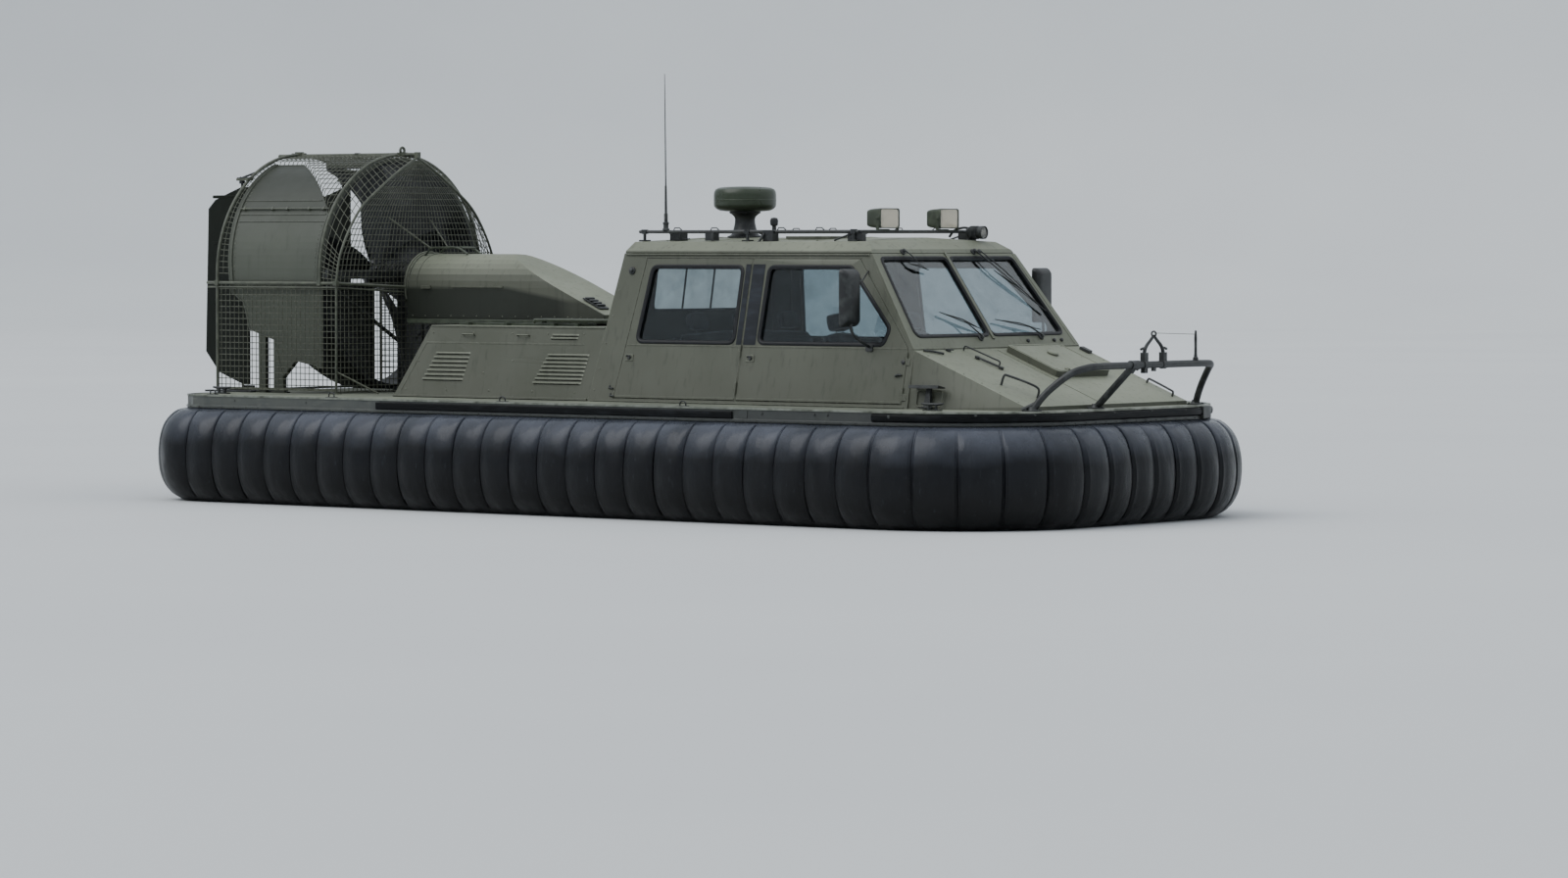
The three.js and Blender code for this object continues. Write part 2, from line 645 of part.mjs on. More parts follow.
function makeEngineHousing() {
  const { rearBottomX, rearTopX, topZ, wall } = ENGINE_HOUSING;
  const bottom = DECK_Z + SEAT_GAP;
  const front = (z) => rearWallX(z) - 0.5;
  const profile = [[rearBottomX, bottom], [front(bottom), bottom], [front(topZ), topZ], [rearTopX, topZ]];
  const slope = (rearTopX - rearBottomX) / (topZ - DECK_Z);
  const inside = [
    [rearBottomX + wall - slope * 50, DECK_Z - 50],
    [front(DECK_Z) - wall, DECK_Z - 50],
    [front(topZ) - wall, topZ - wall],
    [rearTopX + wall, topZ - wall],
  ];
  const outer = alongY(profile, -2000, 2000).intersect(alongX(leaningSection(1000, 1800), -3000, 500));
  const inner = alongY(inside, -2000, 2000).intersect(
    alongX(leaningSection(900, 1800, wall * LEAN_LENGTH), -3000, 500));
  const slots = LOUVRES.flatMap(([rearX, frontX, lowest, pitch, count]) =>
    Array.from({ length: count }, (_, i) => {
      const z = lowest + i * pitch;
      const lean = slope * (z - lowest);
      return onSide([
        [rearX + lean, z], [frontX + lean * 0.4, z],
        [frontX + lean * 0.4, z + LOUVRE_SLOT], [rearX + lean, z + LOUVRE_SLOT],
      ], -wall - 20, 20);
    }));
  return cut(outer, inner, ...slots, ...slots.map(toPort));
}

add(craft, "engine_housing", makeEngineHousing(), OLIVE);
add(craft, "engine_block", block(-1500, -500, -330, 330, DECK_Z + SEAT_GAP, 1640), ENGINE_IRON);

// Cowl over the drive: round-backed, its front cut down by a slanting flat

function makeCowl() {
  const base = 1795 + SEAT_GAP;
  const half = 330;
  const centreZ = 2110;
  const section = [[half, base], ...Array.from({ length: 17 }, (_, i) => {
    const angle = (Math.PI * i) / 16;
    return [half * Math.cos(angle), centreZ + half * Math.sin(angle)];
  }), [-half, base]];
  const profile = [
    [-3225, base - 5], [-650, base - 5], [-650, 1850], [-1090, 2040],
    [-1990, 2432], [-2100, 2445], [-3225, 2445],
  ];
  const body = alongX(section, -3225, -600).intersect(alongY(profile, -500, 500));
  const collar = rod([-3265, 0, centreZ], [-3205, 0, centreZ], 345, 32);
  return join(body, cut(collar, block(-3300, -3200, -500, 500, 1700, base)));
}

add(craft, "cowl_base", block(-3150, -600, -420, 420, 1750 + SEAT_GAP, 1795), BLACK_PAINT);
add(craft, "engine_cowl", makeCowl(), OLIVE);

// Duct: an arch over the propeller, with cheeks that run straight down at its sides

function archAcross(x0, x1, outer, inner) {
  const low = 800 - FAN.z;
  const shape = new THREE.Shape();
  shape.moveTo(-outer, low).lineTo(-outer, 0).absarc(0, 0, outer, Math.PI, 0, true);
  shape.lineTo(outer, low).lineTo(inner, low).lineTo(inner, 0).absarc(0, 0, inner, 0, Math.PI, false);
  shape.lineTo(-inner, low);
  const depth = x1 - x0;
  const geometry = new THREE.ExtrudeGeometry(shape, { depth, bevelEnabled: false, curveSegments: 28 });
  geometry.applyMatrix4(basisOf([0, 1, 0], [0, 0, 1], [x0, 0, FAN.z]));
  return solid(geometry);
}

// The crown is open on each side of a wedge along the middle, from the rear edge forward to the lip.
// Plan outlines of the two openings: the port one is wider at the rear.
const NOTCH = { rearX: -5080, shoulderY: 380, frontX: -3585, frontY: 1060, starboardX: -4590, portX: -4950 };
const CROWN_WEDGE = { tipX: -4550, shoulderX: -4300, y: 360 };

function crownOpening(side, shoulderX) {
  const { rearX, shoulderY, frontX, frontY } = NOTCH;
  const { tipX, shoulderX: wedgeX, y } = CROWN_WEDGE;
  const outline = [
    [rearX, shoulderY], [shoulderX, shoulderY], [frontX, frontY], [frontX, y],
    [wedgeX, y], [tipX, 0], [rearX, 0],
  ].map(([px, py]) => [px, side * py]);
  return plan(side < 0 ? outline : outline.reverse(), FAN.z, FAN.z + 1400);
}

// Slice between two slanting planes: its rear face runs along the duct's rear edge
const { rearBottomX, rearTopX } = FAN;
const slantedSlice = (depth) => alongY([
  [rearBottomX, 700], [rearBottomX + depth, 700], [rearBottomX + depth, 2070], [rearTopX + depth, 3340],
  [rearTopX + depth, 3500], [rearTopX, 3500], [rearTopX, 3340], [rearBottomX, 2070],
], -1300, 1300);

function makeDuct() {
  const { duct, ductWall, frontX } = FAN;
  const inner = duct - ductWall;
  const shell = archAcross(rearTopX, frontX, duct, inner).intersect(slantedSlice(1600));
  const openings = [crownOpening(-1, NOTCH.starboardX), crownOpening(1, NOTCH.portX)];
  const lip = archAcross(frontX - 20, frontX + 35, duct + 10, inner - 4);
  const rearHoop = archAcross(rearTopX, -4700, duct + 15, inner).intersect(slantedSlice(40));
  // The cheeks' lower edge in x and z, from the rear edge to the lip, closed far below
  const below = alongY([
    [-5060, 2180], [-4680, 1950], [-4600, 1680], [-4260, 1580], [-4140, 1200], [-3960, 1374],
    [-3560, 1300], [-3560, 700], [-5060, 700],
  ].reverse(), -1300, 1300);
  const arch = cut(join(cut(join(shell, rearHoop), ...openings), lip), below);
  // Lower half of the tunnel round the propeller, its rear edge slanting forward as it goes down
  const fullRing = rod([-4620, 0, FAN.z], [frontX + 35, 0, FAN.z], duct - 2, 56);
  const bore = rod([-4700, 0, FAN.z], [-3500, 0, FAN.z], inner, 56);
  const lowerHalf = alongY([
    [-4620, 2300], [-4460, 2000], [-4160, 1250], [-4090, 1000], [-3560, 1000], [-3560, 2300],
  ], -1300, 1300);
  const tunnel = cut(fullRing, bore).intersect(lowerHalf);
  // rear x, front x and top z of each post under a cheek
  const posts = [[-4477, -4383, 1650], [-4262, -4138, 1610]].map(
    ([x0, x1, top]) => block(x0, x1, -duct, -inner, DECK_Z + SEAT_GAP, top));
  return join(arch, tunnel, ...posts.map(bothSides));
}

add(craft, "duct", makeDuct(), DARK_GREEN);

// Gearbox on its pylon in front of the propeller, with a cross beam to the duct's lip

function makeGearbox() {
  const case_ = rod([-3800, 0, FAN.z], [-3440, 0, FAN.z], 120, 16);
  const shaft = rod([-3856 + SEAT_GAP, 0, FAN.z], [-3265 - SEAT_GAP, 0, FAN.z], 45, 12);
  const post = block(-3590, -3470, -70, 70, DECK_Z + SEAT_GAP, FAN.z);
  const beam = block(-3580, -3500, -1190, 1190, FAN.z - 45, FAN.z + 45);
  return join(case_, shaft, post, beam);
}

add(craft, "prop_gearbox", makeGearbox(), BLACK_PAINT);

// Propeller: twisted blades on a hub, all from one blade table

function makePropeller() {
  // share of radius, chord, thickness, twist in degrees
  const stations = [
    [0.08, 150, 44, 52],
    [0.35, 280, 30, 38],
    [0.7, 320, 20, 26],
    [1, 230, 9, 20],
  ];
  const blade = loft(stations.map(([share, chord, thick, twist]) => {
    const outline = [[-0.5, 0], [-0.2, -0.5], [0.25, -0.4], [0.5, 0], [0.25, 0.4], [-0.2, 0.5]];
    const turn = THREE.MathUtils.degToRad(twist);
    return outline.map(([c, t]) => {
      const along = c * chord;
      const across = t * thick;
      const y = along * Math.cos(turn) - across * Math.sin(turn);
      const x = along * Math.sin(turn) + across * Math.cos(turn);
      return [x, y, share * PROP.radius];
    });
  }), false);
  const spinner = rod([-190, 0, 0], [-99, 0, 0], 40, 20, PROP.hubRadius);
  const hub = rod([-99, 0, 0], [0, 0, 0], PROP.hubRadius, 20).add(spinner);
  const back = rod([0, 0, 0], [99, 0, 0], PROP.hubRadius, 20);
  const turns = Array.from({ length: PROP.blades }, (_, i) => (360 * i) / PROP.blades);
  const blades = turns.map((turn) => blade.rotate([turn, 0, 0]));
  return join(hub, back, ...blades).translate([FAN.propX, 0, FAN.z]);
}

add(addGroup("propeller_body"), "propeller", makePropeller(), BLACK_PAINT);

// Cage round the propeller: hoops, bars and a coarse wire mesh, with the rudders' upper bearings

// Port half of the front hoop in y and z, from the crown down to the deck
const FRONT_HOOP = [
  [0, 3410], [270, 3273], [589, 3076], [819, 2909], [992, 2698], [1136, 2435], [1195, 2180],
  [CAGE.halfWidth, DECK_Z + SEAT_GAP],
];

const mix = (a, b, share) => a + (b - a) * share;

// The front hoop's height at a distance y from the middle, and its half-width at a height z
function hoopHeight(y) {
  const i = FRONT_HOOP.findIndex(([nextY]) => nextY >= Math.abs(y));
  if (i < 1) return FRONT_HOOP[0][1];
  const [[y0, z0], [y1, z1]] = [FRONT_HOOP[i - 1], FRONT_HOOP[i]];
  return mix(z0, z1, (Math.abs(y) - y0) / (y1 - y0));
}

function hoopHalfWidth(z) {
  const i = Math.max(1, FRONT_HOOP.findIndex(([, nextZ]) => nextZ <= z));
  const [[y0, z0], [y1, z1]] = [FRONT_HOOP[i - 1], FRONT_HOOP[i]];
  return mix(y0, y1, (z - z0) / (z1 - z0));
}

const hoop = (x, route, tube) => straightTubes(route.map(([y, z]) => [x, y, z]), tube);

const arc = (radius, steps) => Array.from({ length: steps + 1 }, (_, i) => {
  const angle = (Math.PI * i) / steps;
  return [radius * Math.cos(angle), FAN.z + radius * Math.sin(angle)];
});

const wire = (...points) => straightTubes(points, CAGE.wire, 4);

// Where numbered lines of the mesh lie between two limits, counted from a start
function meshPlaces(start, low, high) {
  const places = [];
  for (let i = Math.ceil((low - start) / CAGE.mesh); start + i * CAGE.mesh < high; i += 1) {
    places.push(start + i * CAGE.mesh);
  }
  return places;
}

// Crossing wires lie this far apart, one family on the other
const CROSSING = 1.7;

// Wires across the cage's open front. They fan out below the crown and leave the shaft free.
function faceWires() {
  const { frontX, barZ, halfWidth, mesh } = CAGE;
  const columnX = frontX + CROSSING;
  const foot = DECK_Z + 20;
  const rows = meshPlaces(barZ, foot, FRONT_HOOP[0][1] - 40);
  const wires = rows.map((z) => wire([frontX, -hoopHalfWidth(z), z], [frontX, hoopHalfWidth(z), z]));
  const upperRows = rows.filter((z) => z >= barZ);
  for (let y = mesh - halfWidth; y < halfWidth; y += mesh) {
    const share = y / halfWidth;
    const upper = upperRows.map((z) => [columnX, share * hoopHalfWidth(z), z]);
    wires.push(wire([columnX, y, foot], [columnX, share * hoopHalfWidth(barZ), barZ]));
    wires.push(wire(...(Math.abs(y) < 1 ? upper.slice(1) : upper)));
  }
  return wires;
}

// Wires over the cut-back crown, between the two sloping edges of the cut, and on to the front hoop
function crownWires() {
  const { frontX, lipX, rearX, lipRadius, mesh } = CAGE;
  const { starboardX, shoulderY, frontY } = NOTCH;
  const rise = (frontY - shoulderY) / (NOTCH.frontX - starboardX);
  const edgeY = (x) => Math.max(shoulderY, shoulderY + rise * (x - starboardX));
  const onCrown = (x, y, lift = 0) => [x, y, FAN.z + lift + Math.sqrt(lipRadius ** 2 - y ** 2)];
  const wires = meshPlaces(lipX, rearX + mesh / 2, lipX).map((x) => {
    const shares = Array.from({ length: 11 }, (_, i) => i / 5 - 1);
    return wire(...shares.map((share) => onCrown(x, share * edgeY(x))));
  });
  for (const side of [-1, 1]) {
    const edge = [0, 0.25, 0.5, 0.75, 1].map((share) => mix(starboardX, lipX, share));
    wires.push(wire(onCrown(rearX, side * shoulderY), ...edge.map((x) => onCrown(x, side * edgeY(x)))));
    for (let y = mesh / 2; y < lipRadius - mesh / 2; y += mesh) {
      const startX = y < shoulderY ? rearX : starboardX + (y - shoulderY) / rise;
      if (startX < lipX) {
        wires.push(wire(onCrown(startX, side * y, CROSSING), onCrown(lipX, side * y, CROSSING)));
      }
      wires.push(wire(onCrown(lipX, side * y, -CROSSING), [frontX, side * y, hoopHeight(y)]));
    }
  }
  return wires;
}

// Flat panel of wires between the starboard middle bar and the deck
function sideWires() {
  const { frontX, rearX, radius, halfWidth, barZ, mesh } = CAGE;
  const foot = DECK_Z + 40;
  const atY = (x) => -mix(radius, halfWidth, (x - rearX) / (frontX - rearX));
  const rows = meshPlaces(barZ, foot, barZ).map(
    (z) => wire([rearX, atY(rearX), z], [frontX, atY(frontX), z]));
  const columns = meshPlaces(frontX, rearX + mesh / 2, frontX).map(
    (x) => wire([x, atY(x) - CROSSING, foot], [x, atY(x) - CROSSING, barZ]));
  return join(...rows, ...columns);
}

function makeCage() {
  const { frontX, lipX, rearX, radius, lipRadius, halfWidth, barZ, topZ, tube } = CAGE;
  const frontRoute = [...FRONT_HOOP.slice(1).map(([y, z]) => [-y, z]).reverse(), ...FRONT_HOOP];
  const rearRoute = [[radius, 1070], ...arc(radius, 20), [-radius, 1070]];
  const lipRoute = [[lipRadius, barZ], ...arc(lipRadius, 20), [-lipRadius, barZ]];
  const topBar = rod([-5290, 0, topZ], [frontX, 0, topZ], tube, 8);
  const midBar = rod([-5140, -radius, barZ], [frontX, -halfWidth, barZ], CAGE.hoop, 8);
  const brace = rod([frontX, -halfWidth, barZ], [-3240, -352, 2110], CAGE.hoop, 8);
  const { y, bearingZ } = RUDDER;
  const bearing = block(-5145, rearX + 20, -y - 40, -y + 40, bearingZ, bearingZ + 25);
  const frame = join(
    hoop(frontX, frontRoute, CAGE.frontHoop), hoop(lipX, lipRoute, CAGE.hoop),
    hoop(rearX, rearRoute, CAGE.hoop),
    topBar, bothSides(join(midBar, brace, bearing)));
  return join(frame, ...faceWires(), ...crownWires(), bothSides(sideWires()));
}

add(craft, "prop_cage", makeCage(), DARK_GREEN);

// Stern frame on the deck: carries the rear hoop and the rudders' lower bearings

function makeSternFrame() {
  const bottom = DECK_Z + SEAT_GAP;
  const top = 1069.7;
  const arms = [RUDDER.y, CAGE.radius].map((y) => block(-5145, -4500, -y - 40, -y + 40, bottom, top));
  const beam = block(-5060, -4990, -1255, 1255, bottom, top);
  return join(beam, ...arms, ...arms.map(toPort));
}

add(craft, "stern_frame", makeSternFrame(), BLACK_PAINT);

// Rudders: flat hexagonal foils on pins

function makeRudder() {
  const { y, pivotX, topZ, bottomZ, thickness, pin, bearingZ } = RUDDER;
  const outline = [
    [-5000, bottomZ], [-5000, topZ], [-5090, topZ], [-5470, 2988], [-5570, 2900], [-5615, 1444],
    [-5420, 1235], [-5060, bottomZ],
  ].reverse();
  const foil = plan([
    [-4990, -y - 8], [-4990, -y + 8], [-5100, -y + thickness / 2], [-5240, -y + thickness / 2],
    [-5620, -y + 4], [-5620, -y - 4], [-5240, -y - thickness / 2], [-5100, -y - thickness / 2],
  ].reverse(), 1000, 3300);
  const blade = alongY(outline, -y - 100, -y + 100).intersect(foil);
  const pins = rod([pivotX, -y, 1070], [pivotX, -y, bearingZ - SEAT_GAP], pin, 10);
  return join(blade, pins);
}

for (const [side, place] of [["starboard", (part) => part], ["port", toPort]]) {
  add(addGroup(`rudder_${side}_body`), `rudder_${side}`, place(makeRudder()), DARK_GREEN);
}

// Roof gear: radar, rack, aerial, work lamps and searchlight

const roofZ = (y) => {
  const across = Math.abs(y);
  return ROOF_CROWN_Z - (across * (ROOF_CROWN_Z - 2560)) / 1000;
};

function lathe(profile, x, y, z, sides = 28) {
  const geometry = new THREE.LatheGeometry(profile.map((p) => new THREE.Vector2(...p)), sides);
  geometry.rotateX(Math.PI / 2);
  geometry.translate(x, y, z);
  return solid(geometry);
}

const RADAR = { x: 840, dome: 300, bottomZ: 2850, topZ: 3090 };

function makeRadarDome() {
  const { dome, bottomZ, topZ, x } = RADAR;
  const high = topZ - bottomZ;
  return lathe([
    [0, 0], [dome * 0.86, 0], [dome, 40], [dome, high * 0.55],
    [dome * 0.9, high * 0.82], [dome * 0.6, high * 0.96],
    [0, high],
  ], x, 0, bottomZ);
}

function makeRadarMast() {
  const { bottomZ, x } = RADAR;
  const floor = ROOF_CROWN_Z + SEAT_GAP;
  const high = bottomZ - SEAT_GAP - floor;
  const pedestal = [[0, 0], [170, 0], [170, 15], [95, 60], [70, high - 60], [150, high], [0, high]];
  return lathe(pedestal, x, 0, floor, 20);
}

function makeRack() {
  const { rearX, frontX, halfWidth, z, tube } = RACK;
  const corners = [
    [rearX, -halfWidth, z], [frontX, -halfWidth, z], [frontX, halfWidth, z], [rearX, halfWidth, z],
    [rearX, -halfWidth, z],
  ];
  const feet = [];
  for (const x of [rearX + 60, (rearX + frontX) / 2, frontX - 60]) {
    feet.push(rod([x, -halfWidth, roofZ(halfWidth) + SEAT_GAP + 0.5], [x, -halfWidth, z], tube, 8));
  }
  const cross = [1400, 2100].map((x) => rod([x, -halfWidth, z], [x, halfWidth, z], tube, 8));
  return join(straightTubes(corners, tube), ...feet, ...feet.map(toPort), ...cross);
}

function makeAerial() {
  const foot = RACK.z + RACK.tube + SEAT_GAP;
  return join(
    rod([600, -RACK.halfWidth, foot], [600, -RACK.halfWidth, foot + 90], 26, 12),
    rod([600, -RACK.halfWidth, foot + 90], [598, -RACK.halfWidth, foot + 420], 14, 8),
    rod([598, -RACK.halfWidth, foot + 400], [585, -RACK.halfWidth, 4150], 7, 6, 3));
}

function makeLamp(y) {
  const foot = RACK.z + RACK.tube + SEAT_GAP;
  const box = hullOf([
    [2740, y - 100, foot + 50], [2740, y + 100, foot + 50],
    [2740, y - 100, foot + 150], [2740, y + 100, foot + 150],
    [2900, y - 150, foot + 15], [2900, y + 150, foot + 15],
    [2900, y - 150, foot + 200], [2900, y + 150, foot + 200],
    [2930, y - 150, foot + 15], [2930, y + 150, foot + 15],
    [2930, y - 150, foot + 200], [2930, y + 150, foot + 200],
  ]);
  const stem = rod([RACK.frontX, y, foot], [RACK.frontX, y, foot + 60], 20, 10);
  return join(box, stem);
}

function makeSearchlight() {
  const x = 2985;
  const y = 740;
  const foot = roofZ(y) + SEAT_GAP + 1.3;
  return join(
    rod([x, y, foot], [x, y, foot + 40], 30, 12),
    rod([x - 40, y, foot + 75], [x + 150, y, foot + 75], 62, 20));
}

add(craft, "radar_mast", makeRadarMast(), BLACK_PAINT);
add(craft, "radar_dome", makeRadarDome(), OLIVE);
add(craft, "roof_rack", makeRack(), BLACK_PAINT);
add(craft, "whip_aerial", makeAerial(), BLACK_PAINT);
add(craft, "work_lamp_starboard", makeLamp(-465), BLACK_PAINT);
add(craft, "work_lamp_port", makeLamp(465), BLACK_PAINT);
add(craft, "searchlight", makeSearchlight(), BLACK_PAINT);

// Bow guard rail, leaning forward over the skirt, with its fairlead and staff

function makeBowRail() {
  const foot = DECK_Z + SEAT_GAP;
  const tube = 32;
  const main = bentTube([
    [5150, -1300, foot - 40], [5270, -1210, 1230], [5420, -1100, 1390], [5530, -980, 1440],
    [5560, -800, 1450],
    [5560, 0, 1450],
    [5560, 800, 1450], [5530, 980, 1440], [5420, 1100, 1390], [5270, 1210, 1230], [5150, 1300, foot - 40],
  ], tube, 30);
  const leg = rod([5140, -310, foot - 40], [5560, -310, 1450], tube, 8);
  const feet = [[5150, -1300], [5150, 1300], [5140, -310]].map(([x, y]) =>
    block(x - 60, x + 60, y - 60, y + 60, foot, foot + 12));
  const fairlead = [-150, 150].map((y) => rod([5560, y, 1460], [5560, 0, 1715], 18, 8));
  const staff = rod([5560, 680, 1460], [5560, 680, 1750], 14, 8);
  const clear = block(4900, 5700, -1500, 1500, DECK_Z - 200, foot);
  return join(cut(join(main, leg), clear), ...feet, ...fairlead, staff);
}

add(craft, "bow_rail", makeBowRail(), BLACK_PAINT);

export default hovercraft;
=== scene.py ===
# The looks of a utility hovercraft, built round its packed construction frame.
# Metres: +X is the bow, +Y is port, +Z is up, and z = 0 is the ground it stands on.
# Pieces are shaped on the starboard side or the centre line, and mirrored to port.

import json
import math

import bmesh
import bpy
from mathutils import Matrix, Vector, noise


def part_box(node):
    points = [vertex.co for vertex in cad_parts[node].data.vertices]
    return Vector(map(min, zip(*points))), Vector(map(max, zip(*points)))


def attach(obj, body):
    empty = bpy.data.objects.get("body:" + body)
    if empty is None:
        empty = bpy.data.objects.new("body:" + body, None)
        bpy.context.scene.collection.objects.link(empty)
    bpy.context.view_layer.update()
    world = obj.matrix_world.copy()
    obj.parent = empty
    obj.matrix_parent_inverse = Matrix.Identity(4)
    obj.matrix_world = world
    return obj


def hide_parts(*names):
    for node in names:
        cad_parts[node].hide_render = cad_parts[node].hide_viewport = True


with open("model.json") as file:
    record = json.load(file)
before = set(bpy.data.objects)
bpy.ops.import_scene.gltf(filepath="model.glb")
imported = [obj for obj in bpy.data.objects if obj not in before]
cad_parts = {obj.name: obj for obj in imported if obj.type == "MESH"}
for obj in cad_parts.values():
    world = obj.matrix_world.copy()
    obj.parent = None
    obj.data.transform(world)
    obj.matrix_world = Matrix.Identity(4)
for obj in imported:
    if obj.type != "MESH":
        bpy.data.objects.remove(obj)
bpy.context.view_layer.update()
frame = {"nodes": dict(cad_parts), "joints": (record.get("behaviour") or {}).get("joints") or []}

# Sizes, read from the frame where a box gives them

NODES = frame["nodes"]
PINS = {joint["name"]: Vector(joint["pos_m"]) for joint in frame["joints"]}
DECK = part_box("hull")[1].z
RAIL_LOW, RAIL_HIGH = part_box("rub_rail")
HALF_BEAM = RAIL_HIGH.y
BOW_RADIUS = 1.230
STERN_RADIUS = 0.480
LOBES = 78

SIDE_LEAN = 0.216
SIDE_HALF = 1.415
CREASE_X = 3.837
CREASE_Z = 1.575
SCREEN_RAKE = 0.711
REAR_WALL_X = 0.060
REAR_WALL_SLOPE = 0.1496
NOSE_TOE_X = 5.060
NOSE_TOE_Z = 1.085
ROOF_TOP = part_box("roof")[1].z
CABIN_TOP = 2.450

HUB = PINS["propeller_spin"]
FAN_Z = HUB.z
DUCT_RADIUS = 1.165
CAGE_FRONT_X = -3.385
CAGE_HALF = 1.200
RUDDER_PIN = PINS["rudder_starboard_turn"]

# Trims stand this far off the face that carries them, and bolts a little further
GAP = 0.0003
BOLT_GAP = 0.0005
SIDES = (-1, 1)


# Places on the leaning side, the windscreen and the nose

def basis(origin, across, up):
    """Turns flat points (across, up, out) into places on a leaning panel."""
    a = Vector(across).normalized()
    b = Vector(up).normalized()
    place = Matrix((a, b, a.cross(b))).transposed().to_4x4()
    place.translation = Vector(origin)
    return place


LEAN_LENGTH = math.hypot(1, SIDE_LEAN)
RAKE_LENGTH = math.hypot(1, SCREEN_RAKE)
NOSE_SLOPE = (NOSE_TOE_Z - CREASE_Z) / (NOSE_TOE_X - CREASE_X)
SLOPE_LENGTH = math.hypot(1, NOSE_SLOPE)
SIDE = basis((0, -SIDE_HALF, DECK), (1, 0, 0), (0, SIDE_LEAN, 1))
SCREEN = basis((CREASE_X, 0, CREASE_Z), (0, 1, 0), (-SCREEN_RAKE, 0, 1))
NOSE = basis((CREASE_X, 0, CREASE_Z), (1, 0, NOSE_SLOPE), (0, 1, 0))


def side_half(z):
    return SIDE_HALF - SIDE_LEAN * (z - DECK)


def side_outline(points):
    return [(x, (z - DECK) * LEAN_LENGTH) for x, z in points]


def screen_outline(points):
    return [(y, (z - CREASE_Z) * RAKE_LENGTH) for y, z in points]


def on_side(x, z, out=0.0):
    return SIDE @ Vector((*side_outline([(x, z)])[0], out))


def on_screen(y, z, out=0.0):
    return SCREEN @ Vector((*screen_outline([(y, z)])[0], out))


def on_nose(x, y, out=0.0):
    return NOSE @ Vector(((x - CREASE_X) * SLOPE_LENGTH, y, out))


def facing_out(panel, spot):
    """A frame at the spot that faces out as the panel does, for turned fittings."""
    return Matrix.Translation(spot) @ panel.to_quaternion().to_matrix().to_4x4()


def upright(x, z):
    """A plane that faces the bow, with its origin on the centre line."""
    return basis((x, 0, z), (0, 1, 0), (0, 0, 1))


# Outlines and routes

def blend(a, b, share):
    return a + (b - a) * share


def spaced(start, end, steps):
    """Even values from start to end, both kept."""
    return [blend(start, end, i / steps) for i in range(steps + 1)]


def rounded(corners, radius, steps=5):
    """The corners' outline with each corner turned to a curve of about that radius."""
    outline = []
    for i, corner in enumerate(corners):
        here = Vector(corner)
        before = (Vector(corners[i - 1]) - here).normalized()
        after = (Vector(corners[(i + 1) % len(corners)]) - here).normalized()
        reach = radius / math.tan(before.angle(after) / 2)
        start = here + before * reach
        end = here + after * reach
        for t in spaced(0, 1, steps):
            outline.append(tuple(start * (1 - t) ** 2 + here * 2 * t * (1 - t) + end * t * t))
    return outline


def oblong(a0, b0, a1, b1, radius=0.0):
    """A rectangle between two corners, counter-clockwise, with round corners if radius says so."""
    corners = [(a0, b0), (a1, b0), (a1, b1), (a0, b1)]
    return rounded(corners, radius) if radius else corners


def pad(a, b, half_a, half_b, radius):
    """A rounded rectangle round a middle."""
    return oblong(a - half_a, b - half_b, a + half_a, b + half_b, radius)


def grown(corners, gap):
    """The outline moved outwards by gap, for corners that run counter-clockwise."""
    moved = []
    for i, corner in enumerate(corners):
        here = Vector(corner)
        along_a = (here - Vector(corners[i - 1])).normalized()
        along_b = (Vector(corners[(i + 1) % len(corners)]) - here).normalized()
        out = Vector((along_a.y, -along_a.x)) + Vector((along_b.y, -along_b.x))
        moved.append(tuple(here + out * gap / (1 + along_a.dot(along_b))))
    return moved


def curve_through(points, steps):
    """A smooth route through the points, with that many steps between each two."""
    places = [Vector(p) for p in points]
    ends = [places[0] * 2 - places[1]] + places + [places[-1] * 2 - places[-2]]
    route = []
    for i in range(1, len(ends) - 2):
        a, b, c, d = ends[i - 1:i + 3]
        for step in range(steps):
            t = step / steps
            route.append(0.5 * (2 * b + (c - a) * t + (2 * a - 5 * b + 4 * c - d) * t * t
                                + (3 * b - a - 3 * c + d) * t ** 3))
    return route + [places[-1]]


def circle(radius, sides):
    turns = [2 * math.pi * i / sides for i in range(sides)]
    return [(radius * math.cos(turn), radius * math.sin(turn)) for turn in turns]


def at_depth(outline, depth):
    return [(a, b, depth) for a, b in outline]


# One joined piece

